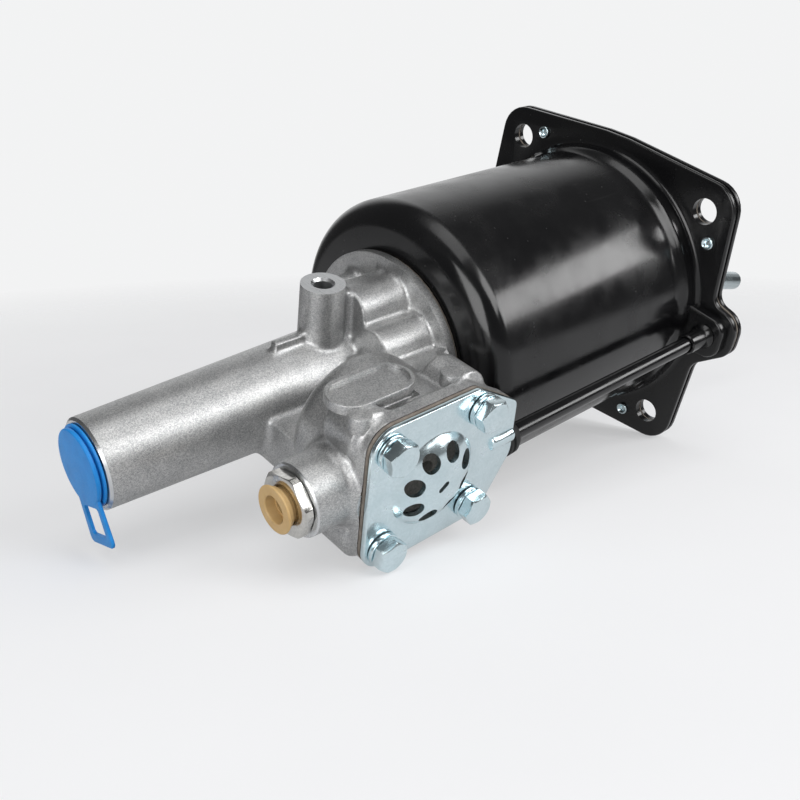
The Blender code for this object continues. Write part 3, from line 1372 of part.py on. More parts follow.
def build_bore_fittings():
    """Guide bush, plunger seal and retaining ring in the mouth of the hydraulic bore."""
    step_x = SPIGOT_END_X - STEP_DEPTH
    clip_x = SPIGOT_END_X - 2.0 * MM
    outer = STEP_RADIUS - GAP
    guide_start = step_x + GAP
    guide_end = guide_start + GUIDE_LENGTH
    turned(
        "guide_bush",
        "white_plastic",
        [(guide_start, PLUNGER_BORE), (guide_start, outer), (guide_end, outer), (guide_end, PLUNGER_BORE)],
    )
    seal_start = guide_end + GAP
    seal_end = seal_start + SEAL_LENGTH
    middle = (outer + PLUNGER_BORE) / 2
    turned(
        "plunger_seal",
        "black_rubber",
        [
            (seal_start, PLUNGER_BORE),
            (seal_start, middle - 0.5 * MM),
            (seal_start + 0.6 * SEAL_LENGTH, middle),
            (seal_start, middle + 0.5 * MM),
            (seal_start, outer),
            (seal_end, outer),
            (seal_end, PLUNGER_BORE),
        ],
    )
    clip_start = clip_x - CLIP_THICK - 0.5 * GAP
    clip_end = clip_start + CLIP_THICK
    clip_outer = STEP_RADIUS + CLIP_GROOVE - GAP
    clip = turned(
        "bore_retaining_ring",
        "spring_steel",
        [
            (clip_start, PLUNGER_BORE + MM),
            (clip_start, clip_outer),
            (clip_end, clip_outer),
            (clip_end, PLUNGER_BORE + MM),
        ],
    )
    cut(clip, block_tool(
        "clip_split",
        (clip_start - MM, -1.5 * MM, -2 * STEP_RADIUS),
        (clip_end + MM, 1.5 * MM, 0.0),
    ))


def build_piston():
    """Air piston with its lip seal, guide band and hub."""
    outer = POT_BORE - GAP
    rim_inner = outer - PISTON_RIM_WALL
    seal_start = PISTON_FRONT_X + GROOVE_LAND
    seal_end = seal_start + PISTON_SEAL_WIDTH + 2 * GAP
    band_start = seal_end + GROOVE_LAND
    band_end = band_start + GUIDE_BAND_WIDTH + 2 * GAP
    seat_front = PISTON_BACK_X - BALL_DEPTH - BALL_RADIUS - 1.6 * MM
    socket_end = HUB_FRONT_X + PLUNGER_SEAT_DEPTH
    clip_seat = PISTON_BACK_X - BALL_DEPTH + SEAT_INSERT_DEPTH - BALL_RADIUS
    profile = [
        (HUB_FRONT_X, PLUNGER_RADIUS + GAP),
        (HUB_FRONT_X, HUB_RADIUS - MM),
        (HUB_FRONT_X + MM, HUB_RADIUS),
        (WEB_FRONT_X, HUB_RADIUS + MM),
        (WEB_FRONT_X, rim_inner - MM),
        (WEB_FRONT_X - MM, rim_inner),
        (PISTON_FRONT_X, rim_inner + 0.5 * MM),
        (PISTON_FRONT_X, outer - 0.5 * MM),
        (PISTON_FRONT_X + 0.5 * MM, outer),
        (seal_start, outer),
        (seal_start, outer - PISTON_SEAL_DEPTH),
        (seal_end, outer - PISTON_SEAL_DEPTH),
        (seal_end, outer),
        (band_start, outer),
        (band_start, outer - GUIDE_BAND_DEPTH),
        (band_end, outer - GUIDE_BAND_DEPTH),
        (band_end, outer),
        (PISTON_BACK_X, outer),
        (PISTON_BACK_X, outer - 3 * MM),
        (PISTON_BACK_X - 2 * MM, outer - 5 * MM),
        (PISTON_BACK_X - 2 * MM, HUB_RADIUS + 4 * MM),
        (PISTON_BACK_X - MM, HUB_RADIUS),
        (PISTON_BACK_X - MM, SEAT_INSERT_RADIUS + GAP + 0.9 * MM),
        (clip_seat - 0.1 * MM, SEAT_INSERT_RADIUS + GAP + 0.9 * MM),
        (clip_seat - 0.1 * MM, SEAT_INSERT_RADIUS + GAP),
        (seat_front, SEAT_INSERT_RADIUS + GAP),
        (seat_front, 0.0),
        (socket_end, 0.0),
        (socket_end, PLUNGER_RADIUS + GAP),
    ]
    turned("air_piston", "turned_aluminium", profile, segments=FINE)
    lip = POT_BORE - 0.2 * MM
    floor = outer - PISTON_SEAL_DEPTH + GAP
    start = seal_start + GAP
    end = start + PISTON_SEAL_WIDTH
    turned(
        "piston_seal",
        "black_rubber",
        [
            (start, floor),
            (start, floor + 0.9 * MM),
            (start + 0.55 * PISTON_SEAL_WIDTH, (floor + lip) / 2),
            (start, lip - 0.9 * MM),
            (start, lip),
            (end, outer - 0.3 * MM),
            (end, floor),
        ],
        segments=FINE,
    )
    start = band_start + GAP
    end = start + GUIDE_BAND_WIDTH
    floor = outer - GUIDE_BAND_DEPTH + GAP
    turned(
        "piston_guide_band",
        "white_plastic",
        [(start, floor), (start, lip), (end, lip), (end, floor)],
        segments=FINE,
    )
    plunger_end = socket_end - GAP
    plunger_start = NOSE_X + BORE_END_WALL + PISTON_STROKE + STROKE_SPARE
    turned(
        "hydraulic_plunger",
        "plunger_steel",
        [
            (plunger_start, 0.0),
            (plunger_start, PLUNGER_RADIUS - PLUNGER_EDGE),
            (plunger_start + PLUNGER_EDGE, PLUNGER_RADIUS),
            (plunger_end - 0.6 * MM, PLUNGER_RADIUS),
            (plunger_end, PLUNGER_RADIUS - 0.6 * MM),
            (plunger_end, 0.0),
        ],
        segments=SMALL,
    )


def build_push_rod():
    """Ball-ended rod, the seat its ball turns in and the clip that keeps it there."""
    seat_front = PISTON_BACK_X - BALL_DEPTH - BALL_RADIUS - 1.6 * MM + GAP
    seat_back = PISTON_BACK_X - BALL_DEPTH + SEAT_INSERT_DEPTH - BALL_RADIUS - GAP
    cup = BALL_RADIUS + GAP
    open_angle = math.degrees(math.acos((seat_back - BALL_X) / cup))
    profile = [(seat_front, 0.0), (seat_front, SEAT_INSERT_RADIUS), (seat_back, SEAT_INSERT_RADIUS)]
    profile += arc(BALL_X, 0.0, cup, open_angle, 180, 5)[:-1] + [(BALL_X - cup, 0.0)]
    turned("rod_seat", "white_plastic", profile, segments=MIDDLE)
    clip_start = seat_back + GAP
    clip_end = clip_start + ROD_CLIP_THICK
    clip_outer = SEAT_INSERT_RADIUS + 0.9 * MM
    turned(
        "rod_retaining_ring",
        "spring_steel",
        [
            (clip_start, ROD_CLIP_HOLE),
            (clip_start, clip_outer),
            (clip_end, clip_outer),
            (clip_end, ROD_CLIP_HOLE + 0.8 * MM),
        ],
    )
    pivot = bpy.data.objects.new("rod_pivot", None)
    place(pivot, (BALL_X, 0, 0), (0, ROD_DROOP, 0), PARTS)
    neck_angle = math.degrees(math.asin(NECK_RADIUS / BALL_RADIUS))
    profile = arc(0.0, 0.0, BALL_RADIUS, 180, neck_angle, 7)
    profile[0] = (-BALL_RADIUS, 0.0)
    profile += [
        (NECK_LENGTH, NECK_RADIUS),
        (NECK_LENGTH + 1.5 * MM, ROD_RADIUS),
        (ROD_LENGTH - ROD_TIP, ROD_RADIUS),
        (ROD_LENGTH - 0.35 * ROD_TIP, 0.75 * ROD_RADIUS),
        (ROD_LENGTH, 0.3 * ROD_RADIUS),
        (ROD_LENGTH, 0.0),
    ]
    rod = turned("push_rod", "zinc_plate", profile, segments=SMALL)
    rod.parent = pivot


def coil(name, wire, turns, points_per_turn, start, end, radius_start, radius_end, location, rotation):
    """Helical spring with closed end turns, as one round wire along its own Z."""
    curve = bpy.data.curves.new(name, "CURVE")
    curve.dimensions = "3D"
    curve.bevel_depth = wire
    curve.bevel_resolution = 2
    curve.use_fill_caps = True
    spline = curve.splines.new("POLY")
    count = turns * points_per_turn + 1
    spline.points.add(count - 1)
    low = start + wire
    high = end - wire
    for i, point in enumerate(spline.points):
        travel = i / (count - 1)
        dead = 0.75 / turns
        climb = min(max((travel - dead) / (1 - 2 * dead), 0.0), 1.0)
        closing = 2.1 * wire
        rise = closing * min(travel / dead, 1.0) + closing * max((travel - 1 + dead) / dead, 0.0)
        z = low + rise + (high - low - 2 * closing) * climb
        angle = math.tau * turns * travel
        radius = radius_start + (radius_end - radius_start) * climb
        point.co = (radius * math.cos(angle), radius * math.sin(angle), z, 1.0)
    obj = place(bpy.data.objects.new(name, curve), location, rotation, PARTS)
    finish(obj, "spring_steel")
    return obj


def build_springs():
    """The piston's conical spring and the two small valve springs."""
    coil(
        "piston_spring", SPRING_WIRE, SPRING_TURNS, 14,
        POT_FLOOR_X + GAP, WEB_FRONT_X - GAP,
        SPRING_RADIUS_FRONT, SPRING_RADIUS_PISTON, (0, 0, 0), ALONG_X,
    )
    relay_middle = (RELAY_STEM_RADIUS + RELAY_RADIUS) / 2 + 0.3 * MM
    coil(
        "relay_spring", SMALL_WIRE, 3, 9,
        RELAY_SHOULDER + GAP, SEAT_INNER - GAP,
        relay_middle, relay_middle, valve_station(), ALONG_MINUS_Y,
    )
    valve_middle = (POPPET_STEM_RADIUS + POPPET_RADIUS) / 2 + 0.3 * MM
    coil(
        "valve_spring", SMALL_WIRE, 3, 9,
        POPPET_OUTER + GAP, GUIDE_RING_INNER - GAP,
        valve_middle, valve_middle, valve_station(), ALONG_MINUS_Y,
    )


def build_relay_valve():
    """Relay piston, valve seat, inlet valve, guide ring and silencer disc along the valve axis."""
    spot = valve_station()
    groove_start = RELAY_INNER + 0.5 * (RELAY_LENGTH - RELAY_GROOVE) - GAP
    groove_end = groove_start + RELAY_GROOVE + 2 * GAP
    groove_floor = RELAY_RADIUS - RELAY_GROOVE
    stem_end = SEAT_OUTER
    turned(
        "relay_piston",
        "turned_aluminium",
        [
            (RELAY_INNER, 0.0),
            (RELAY_INNER, RELAY_RADIUS - 0.4 * MM),
            (RELAY_INNER + 0.4 * MM, RELAY_RADIUS),
            (groove_start, RELAY_RADIUS),
            (groove_start, groove_floor),
            (groove_end, groove_floor),
            (groove_end, RELAY_RADIUS),
            (RELAY_SHOULDER, RELAY_RADIUS),
            (RELAY_SHOULDER, RELAY_STEM_RADIUS),
            (stem_end, RELAY_STEM_RADIUS),
            (stem_end, 0.0),
        ],
        spot,
        ALONG_MINUS_Y,
        SMALL,
    )
    seal_start = groove_start + GAP
    seal_end = seal_start + RELAY_GROOVE
    seal_floor = groove_floor + GAP
    seal_outer = RELAY_RADIUS + 0.15 * MM
    turned(
        "relay_seal",
        "black_rubber",
        [
            (seal_start, seal_floor),
            (seal_start, seal_outer - 0.3 * MM),
            (seal_start + 0.4 * MM, seal_outer),
            (seal_end - 0.4 * MM, seal_outer),
            (seal_end, seal_outer - 0.3 * MM),
            (seal_end, seal_floor),
        ],
        spot,
        ALONG_MINUS_Y,
        SMALL,
    )
    seat_radius = VALVE_BORE_RADIUS - GAP
    turned(
        "valve_seat",
        "nickel",
        [
            (SEAT_INNER, SEAT_HOLE_RADIUS),
            (SEAT_INNER, seat_radius),
            (SEAT_OUTER - SEAT_LIP, seat_radius),
            (SEAT_OUTER - SEAT_LIP, SEAT_HOLE_RADIUS + SEAT_LIP),
            (SEAT_OUTER, SEAT_HOLE_RADIUS + 0.5 * SEAT_LIP),
            (SEAT_OUTER, SEAT_HOLE_RADIUS),
        ],
        spot,
        ALONG_MINUS_Y,
    )
    turned(
        "inlet_valve",
        "black_rubber",
        [
            (POPPET_INNER, POPPET_HOLE_RADIUS),
            (POPPET_INNER, POPPET_RADIUS),
            (POPPET_OUTER, POPPET_RADIUS),
            (POPPET_OUTER, POPPET_STEM_RADIUS),
            (POPPET_OUTER + POPPET_STEM_LENGTH, POPPET_STEM_RADIUS),
            (POPPET_OUTER + POPPET_STEM_LENGTH, POPPET_HOLE_RADIUS),
        ],
        spot,
        ALONG_MINUS_Y,
        SMALL,
    )
    turned(
        "valve_guide_ring",
        "white_plastic",
        [
            (GUIDE_RING_INNER, POPPET_STEM_RADIUS + GAP),
            (GUIDE_RING_INNER, CHAMBER_RADIUS - GAP),
            (GUIDE_RING_OUTER, CHAMBER_RADIUS - GAP),
            (GUIDE_RING_OUTER, POPPET_STEM_RADIUS + GAP),
        ],
        spot,
        ALONG_MINUS_Y,
    )
    silencer_inner = GUIDE_RING_OUTER + GAP
    silencer_outer = silencer_inner + SILENCER_THICK
    turned(
        "silencer_disc",
        "felt",
        [
            (silencer_inner, POPPET_STEM_RADIUS + GAP),
            (silencer_inner, CHAMBER_RADIUS - GAP),
            (silencer_outer, CHAMBER_RADIUS - GAP),
            (silencer_outer, POPPET_STEM_RADIUS + GAP),
        ],
        spot,
        ALONG_MINUS_Y,
    )


build_pot()
build_rear_cover()
build_flange_gasket()
build_rivets()
build_housing()
build_housing_gasket()
build_housing_screws()
build_exhaust_cover()
build_cover_gasket()
build_cover_bolts()
build_inlet()
build_pipe()
build_dust_cap()
build_bore_fittings()
build_piston()
build_push_rod()
build_springs()
build_relay_valve()
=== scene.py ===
"""Looks of the clutch servo: finishes, cast and pressed detail, floor, lamps and camera.

Sizes are in millimetres, in the servo's own frame: +X from the hydraulic nose to the gearbox face,
+Z towards the bleeder, -Y out of the exhaust cover. The bench turns them into metres.
"""
import json
import logging
import math
from dataclasses import dataclass
from enum import Enum

import bpy
from mathutils import Matrix, Vector


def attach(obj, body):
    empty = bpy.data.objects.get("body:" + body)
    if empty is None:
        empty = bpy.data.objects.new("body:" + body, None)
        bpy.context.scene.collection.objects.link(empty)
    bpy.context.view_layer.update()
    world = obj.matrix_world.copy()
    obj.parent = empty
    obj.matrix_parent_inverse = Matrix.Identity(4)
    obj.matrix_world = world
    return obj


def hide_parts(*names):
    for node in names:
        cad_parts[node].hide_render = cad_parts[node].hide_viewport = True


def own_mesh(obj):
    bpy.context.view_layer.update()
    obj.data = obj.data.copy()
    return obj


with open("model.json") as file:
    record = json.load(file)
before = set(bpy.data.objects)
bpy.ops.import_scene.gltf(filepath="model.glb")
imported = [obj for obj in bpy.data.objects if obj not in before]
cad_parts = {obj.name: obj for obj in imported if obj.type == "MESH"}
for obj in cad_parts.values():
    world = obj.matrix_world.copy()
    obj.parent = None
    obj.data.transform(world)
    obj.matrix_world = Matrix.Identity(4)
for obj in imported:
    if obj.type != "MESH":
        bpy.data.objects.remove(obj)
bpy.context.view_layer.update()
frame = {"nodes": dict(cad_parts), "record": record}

log = logging.getLogger("clutch_servo")

MM = 0.001
Point = tuple[float, float, float]
Colour = tuple[float, float, float]
Turn = tuple[float, float, float]
Pair = tuple[float, float]
Outline = list[Pair]
Profile = list[Pair]
Piece = bpy.types.Object
Socket = bpy.types.NodeSocket

# Turns that point a shape's own Z in the named direction.
ALONG_X: Turn = (math.pi / 2, 0.0, math.pi / 2)
ALONG_MINUS_Y: Turn = (math.pi / 2, 0.0, 0.0)
ALONG_Z: Turn = (0.0, 0.0, 0.0)

# Stations along the main axis, and the relay valve's axis.
FLANGE_BACK = -3.1
FLANGE_FRONT = -5.7
POT_FRONT = -123.7
DISC_BACK = -125.0
DISC_FRONT = -128.6
NOSE = -245.4
BLEEDER_X = -157.4
VALVE_X = -170.0
VALVE_Z = 7.0
BLOCK_FACE = 67.9
VALVE: Point = (VALVE_X, 0.0, VALVE_Z)
INLET: Point = (0.0, -55.0, 6.3)
PIPE: Point = (0.0, -65.0, 1.1)
GALLERY: Point = (0.0, -18.0, 16.3)

# Half the square of the cover bolts, and the circle of the housing screws with its first angle.
BOLT_HALF = 18.2
SCREW_CIRCLE = 25.2
SCREW_ANGLE = 99.0

# Radii of the holes that more than one piece has.
BOLT_HOLE = 3.3
PIPE_HOLE = 3.3
SCREW_HOLE = 4.3
AIR_HOLE = 4.0


def arc(station: float, radius: float, bend: float, start: float, end: float, steps: int = 8) -> Profile:
    """Points of an arc in a turned profile.

    Args:
        station: Station of the arc's centre.
        radius: Radius of the arc's centre from the axis.
        bend: The arc's own radius.
        start: First angle in degrees, 0 along the station.
        end: Last angle in degrees.
        steps: Number of chords.

    Returns:
        (station, radius) pairs.
    """
    angles = [math.radians(start + (end - start) * i / steps) for i in range(steps + 1)]
    return [(station + bend * math.cos(a), radius + bend * math.sin(a)) for a in angles]


def rounded(corners: list[Point], steps: int = 8) -> Outline:
    """Round the corners of a flat outline.

    Args:
        corners: (u, v, radius) of each corner in order.
        steps: Chords in a quarter turn.

    Returns:
        The outline's points.
    """
    points: Outline = []
    for i, (u, v, radius) in enumerate(corners):
        here = Vector((u, v))
        before = (Vector(corners[i - 1][:2]) - here).normalized()
        after = (Vector(corners[(i + 1) % len(corners)][:2]) - here).normalized()
        half = before.angle(after) / 2
        if radius <= 0 or abs(half - math.pi / 2) < 1e-4:
            points.append((u, v))
            continue
        middle = here + (before + after).normalized() * (radius / math.sin(half))
        first = here + before * (radius / math.tan(half)) - middle
        turn = (math.pi - 2 * half) * (1 if before.cross(after) < 0 else -1)
        count = max(1, round(steps * abs(turn) / (math.pi / 2)))
        for k in range(count + 1):
            c, s = math.cos(turn * k / count), math.sin(turn * k / count)
            points.append((middle.x + first.x * c - first.y * s, middle.y + first.x * s + first.y * c))
    return points


def stadium(half_length: float, half_width: float, steps: int = 12) -> Outline:
    """Outline of a slot or oval pad with round ends."""
    corners = [(-1, -1), (1, -1), (1, 1), (-1, 1)]
    return rounded([(half_length * u, half_width * v, 0.999 * half_width) for u, v in corners], steps)


def on_square(half: float) -> Outline:
    """Return the four corners of a square."""
    return [(u, v) for u in (-half, half) for v in (-half, half)]


def on_circle(radius: float, first: float, count: int) -> Outline:
    """Return evenly spaced spots on a circle, from an angle in degrees."""
    angles = [math.radians(first + 360 / count * i) for i in range(count)]
    return [(radius * math.cos(a), radius * math.sin(a)) for a in angles]


def round_axis(spots: Outline) -> list[Point]:
    """Return (Y, Z) spots round the main axis as points."""
    return [(0.0, y, z) for y, z in spots]


def round_valve(spots: Outline) -> list[Point]:
    """Return (X, Z) spots round the valve axis as points."""
    return [(VALVE_X + x, 0.0, VALVE_Z + z) for x, z in spots]


SCREWS = round_axis(on_circle(SCREW_CIRCLE, SCREW_ANGLE, 3))
COVER_BOLTS = round_valve(on_square(BOLT_HALF))


class Bench:
    """The hand operations that every sub-assembly shares. It takes millimetres and gives metres."""

    @staticmethod
    def take(obj: Piece | None = None) -> None:
        """Leave edit mode, deselect everything and select one object, if one is given."""
        if bpy.context.object and bpy.context.object.mode != "OBJECT":
            bpy.ops.object.mode_set(mode="OBJECT")
        bpy.ops.object.select_all(action="DESELECT")
        if obj:
            obj.select_set(True)
            bpy.context.view_layer.objects.active = obj

    def settle(self, obj: Piece, place: Point, turn: Turn) -> Piece:
        """Turn and move an object to its place, and apply that to its mesh.

        Args:
            obj: The object, at the origin or along its own Z.
            place: Where its own origin goes, in millimetres.
            turn: Euler angles.

        Returns:
            The same object, now at the origin.
        """
        self.take(obj)
        goal = Matrix.Translation(Vector(place) * MM)
        for angle, axis in zip(reversed(turn), "ZYX"):
            goal = goal @ Matrix.Rotation(angle, 4, axis)
        obj.matrix_world = goal @ obj.matrix_world
        bpy.ops.object.transform_apply(location=True, rotation=True, scale=True)
        return obj

    def trace(self, name: str, points: list[Point]) -> Piece:
        """Draw a chain of edges by extruding one vertex from point to point. It stays in edit mode.

        Args:
            name: The new object's name.
            points: The chain's points in millimetres.

        Returns:
            The object, in edit mode with everything selected.
        """
        self.take()
        bpy.ops.mesh.primitive_plane_add(size=MM)
        obj = bpy.context.object
        obj.name = name
        bpy.ops.object.mode_set(mode="EDIT")
        bpy.ops.mesh.select_all(action="SELECT")
        bpy.ops.mesh.merge(type="CENTER")
        last = Vector((0.0, 0.0, 0.0))
        for i, point in enumerate(points):
            step = {"value": (Vector(point) - last) * MM}
            if i:
                bpy.ops.mesh.extrude_vertices_move(TRANSFORM_OT_translate=step)
            else:
                bpy.ops.transform.translate(**step)
            last = Vector(point)
        bpy.ops.mesh.select_all(action="SELECT")
        return obj

    def turned(self, name: str, profile: Profile, place: Point = (0, 0, 0), turn: Turn = ALONG_X,
               segments: int = 96) -> Piece:
        """Spin a section into a closed solid.

        Args:
            name: The new object's name.
            profile: (station, radius) once round the section.
            place: A point that the axis passes through.
            turn: Direction of the axis.
            segments: Facets round the axis.

        Returns:
            The solid.
        """
        ends_on_axis = profile[0][1] < 1e-6 and profile[-1][1] < 1e-6
        run = profile if ends_on_axis else profile + profile[:1]
        obj = self.trace(name, [(radius, 0.0, station) for station, radius in run])
        bpy.ops.mesh.spin(steps=segments, angle=math.tau, center=(0, 0, 0), axis=(0, 0, 1))
        bpy.ops.mesh.select_all(action="SELECT")
        bpy.ops.mesh.remove_doubles(threshold=1e-6)
        bpy.ops.mesh.normals_make_consistent(inside=False)
        return self.settle(obj, place, turn)

    def plate(self, name: str, outline: Outline, low: float, high: float,
              place: Point = (0, 0, 0), turn: Turn = ALONG_X) -> Piece:
        """Fill an outline and extrude it.

        Args:
            name: The new object's name.
            outline: Points of the outline.
            low: First station.
            high: Last station.
            place: Where the outline's origin goes.
            turn: Direction of the extrusion.

        Returns:
            The solid.
        """
        obj = self.trace(name, [(u, v, low) for u, v in outline])
        bpy.ops.mesh.edge_face_add()
        bpy.ops.mesh.extrude_region_move(TRANSFORM_OT_translate={"value": (0, 0, (high - low) * MM)})
        bpy.ops.mesh.select_all(action="SELECT")
        bpy.ops.mesh.normals_make_consistent(inside=False)
        return self.settle(obj, place, turn)

    def rod(self, name: str, radius: float, low: float, high: float, place: Point = (0, 0, 0),
            turn: Turn = ALONG_X, sides: int = 48, end_radius: float | None = None) -> Piece:
        """Add a round or many-sided bar, or a cone where the end radius differs."""
        self.take()
        end = radius if end_radius is None else end_radius
        bpy.ops.mesh.primitive_cone_add(
            vertices=sides, radius1=radius * MM, radius2=end * MM, depth=(high - low) * MM,
            location=(0, 0, (low + high) / 2 * MM),
        )
        bpy.context.object.name = name
        return self.settle(bpy.context.object, place, turn)

    def rods(self, name: str, radius: float, low: float, high: float, places: list[Point],
             turn: Turn = ALONG_X, sides: int = 48) -> list[Piece]:
        """Add the same bar at several places."""
        return [self.rod(name, radius, low, high, place, turn, sides) for place in places]

    def block(self, name: str, low: Point, high: Point, edge: float = 0.0) -> Piece:
        """Add a box between two corners, its edges bevelled by the given width."""
        self.take()
        bpy.ops.mesh.primitive_cube_add(size=1.0)
        obj = bpy.context.object
        obj.name = name
        size = Vector(high) - Vector(low)
        obj.matrix_world = Matrix.LocRotScale((Vector(high) + Vector(low)) / 2 * MM, None, size * MM)
        bpy.ops.object.transform_apply(location=True, rotation=True, scale=True)
        return self.bevel(obj, edge, 3) if edge else obj

    def apply(self, obj: Piece, kind: str, **values: object) -> Piece:
        """Add one modifier with its settings and apply it."""
        self.take(obj)
        modifier = obj.modifiers.new(kind.lower(), kind)
        for key, value in values.items():
            setattr(modifier, key, value)
        bpy.ops.object.modifier_apply(modifier=modifier.name)
        return obj

    def bevel(self, obj: Piece, width: float, segments: int = 2, angle: float = 40.0) -> Piece:
        """Round every edge sharper than the angle."""
        return self.apply(
            obj, "BEVEL", width=width * MM, segments=segments, limit_method="ANGLE",
            angle_limit=math.radians(angle), miter_outer="MITER_ARC",
        )

    def combine(self, operation: str, obj: Piece, tools: tuple[Piece, ...]) -> None:
        """Run one Boolean for each tool, which is then thrown away."""
        for tool in tools:
            self.apply(
                obj, "BOOLEAN", operation=operation, object=tool, solver="EXACT", material_mode="TRANSFER"
            )
            bpy.data.objects.remove(tool, do_unlink=True)

    def cut(self, obj: Piece, *tools: Piece) -> Piece:
        """Cut tools out of a solid."""
        self.combine("DIFFERENCE", obj, tools)
        return obj

    def fuse(self, obj: Piece, *tools: Piece) -> Piece:
        """Join tools to a solid."""
        self.combine("UNION", obj, tools)
        return obj

    def keep_common(self, obj: Piece, tool: Piece) -> Piece:
        """Keep only what a solid and a tool share."""
        self.combine("INTERSECT", obj, (tool,))
        return obj

    def gather(self, name: str, *pieces: Piece) -> Piece:
        """Put several meshes into one object without fusing them."""
        self.take(pieces[0])
        for piece in pieces:
            piece.select_set(True)
        bpy.ops.object.join()
        pieces[0].name = name
        return pieces[0]

    def shade(self, obj: Piece, angle: float) -> Piece:
        """Shade round faces smooth and leave real edges sharp."""
        self.take(obj)
        bpy.ops.object.shade_smooth_by_angle(angle=math.radians(angle))
        return obj


class Graph:
    """The node tree of a material or world, with short calls to add and link nodes."""

    def __init__(self, owner: bpy.types.Material | bpy.types.World) -> None:
        """Start from the shader and output that a new material or world has.

        Args:
            owner: The material or world.
        """
        owner.use_nodes = True
        self.owner = owner
        self.tree = owner.node_tree
        self.shader = self.tree.nodes.get("Principled BSDF") or self.tree.nodes["Background"]
        self.coordinates = self.add("ShaderNodeTexCoord").outputs
        self.place = self.coordinates["Object"]

    def feed(self, socket: Socket, value: object) -> None:
        """Link another node's output to an input, or set the input to a plain value."""
        if isinstance(value, Socket):
            self.tree.links.new(value, socket)
        else:
            socket.default_value = value

    def add(self, kind: str, *inputs: object, **values: object) -> bpy.types.Node:
        """Add a node.

        Args:
            kind: Blender's node type.
            *inputs: Sockets or values for its first inputs.
            **values: Properties of the node, or inputs by name with _ for a space.

        Returns:
            The new node.
        """
        node = self.tree.nodes.new(kind)
        for socket, value in zip(node.inputs, inputs):
            self.feed(socket, value)
        for key, value in values.items():
            if hasattr(node, key):
                setattr(node, key, value)
            else:
                self.feed(node.inputs[key.replace("_", " ")], value)
        return node

    def set(self, **values: object) -> None:
        """Set or link the shader's inputs, by name with _ for a space."""
        for key, value in values.items():
            self.feed(self.shader.inputs[key.replace("_", " ")], value)

    def stretched(self, scale: Point) -> Socket:
        """Return object coordinates multiplied by a scale along each axis."""
        return self.add("ShaderNodeMapping", Vector=self.place, Scale=scale).outputs[0]

    def noise(self, size: float, detail: float = 3.0, place: Socket | None = None) -> Socket:
        """Return cloudy noise whose patches are about the given size in metres."""
        cloud = self.add("ShaderNodeTexNoise", Vector=place or self.place, Scale=1.0 / size, Detail=detail)
        return cloud.outputs["Fac"]

    def cells(self, size: float) -> Socket:
        """Return a random grey for each cell of about the given size in metres."""
        cell = self.add("ShaderNodeTexVoronoi", Vector=self.place, Scale=1.0 / size)
        return self.add("ShaderNodeSeparateColor", Color=cell.outputs["Color"]).outputs[0]

    def span(self, value: Socket, low: float, high: float, start: float = 0.0, end: float = 1.0) -> Socket:
        """Map a value from low..high to start..end, held at both ends."""
        return self.add("ShaderNodeMapRange", value, low, high, start, end).outputs[0]

    def mix(self, first: Socket, second: Socket | float, operation: str = "ADD") -> Socket:
        """Combine two values with a Math operation."""
        return self.add("ShaderNodeMath", first, second, operation=operation).outputs[0]

    def blend(self, mask: Socket, first: Colour, second: Colour) -> Socket:
        """Return a colour that goes from first to second as the mask rises."""
        node = self.add("ShaderNodeMix", mask, data_type="RGBA")
        for socket, colour in zip(node.inputs[6:8], (first, second)):
            self.feed(socket, (*colour, 1.0))
        return node.outputs[2]

    def bump(self, height: Socket, depth: float) -> None:
        """Send a height to the shader's normal, depth in metres for a height of 1."""
        node = self.add("ShaderNodeBump", Height=height, Distance=depth, Strength=1.0)
        self.set(Normal=node.outputs[0])


class Coating:
    """What every finish shares: it paints a new material."""

    def material(self, name: str) -> bpy.types.Material:
        """Return a new material with the finish on it."""
        graph = Graph(bpy.data.materials.new(name))
        self.paint(graph)
        return graph.owner

    def paint(self, graph: Graph) -> None:
        """Set the shader of a new material's tree. Each finish has its own way."""
        raise NotImplementedError


@dataclass(frozen=True)
class CastAluminium(Coating):
    """Raw die-cast aluminium with a sparkling shot-blasted grain."""

    dark: Colour = (0.30, 0.305, 0.315)
    light: Colour = (0.70, 0.70, 0.69)
    grain: float = 0.28 * MM
    roughness: float = 0.45
    relief: float = 0.025 * MM

    def paint(self, graph: Graph) -> None:
        """Paint bright and dark grains under a slow cloud.

        Args:
            graph: The new material's tree.
        """
        grain = graph.cells(self.grain)
        cloud = graph.noise(9 * MM, 4.0)
        tone = graph.mix(graph.span(grain, 0.0, 1.0, 0.0, 0.75), graph.span(cloud, 0.3, 0.7, 0.0, 0.25))
        fine = graph.noise(0.3 * MM, 3.0)
        graph.set(
            Base_Color=graph.blend(tone, self.dark, self.light),
            Metallic=1.0,
            Roughness=graph.mix(graph.span(fine, 0.2, 0.8, -0.10, 0.10), self.roughness),
        )
        graph.bump(graph.mix(graph.span(grain, 0.0, 1.0, 0.0, 0.4), fine), self.relief)


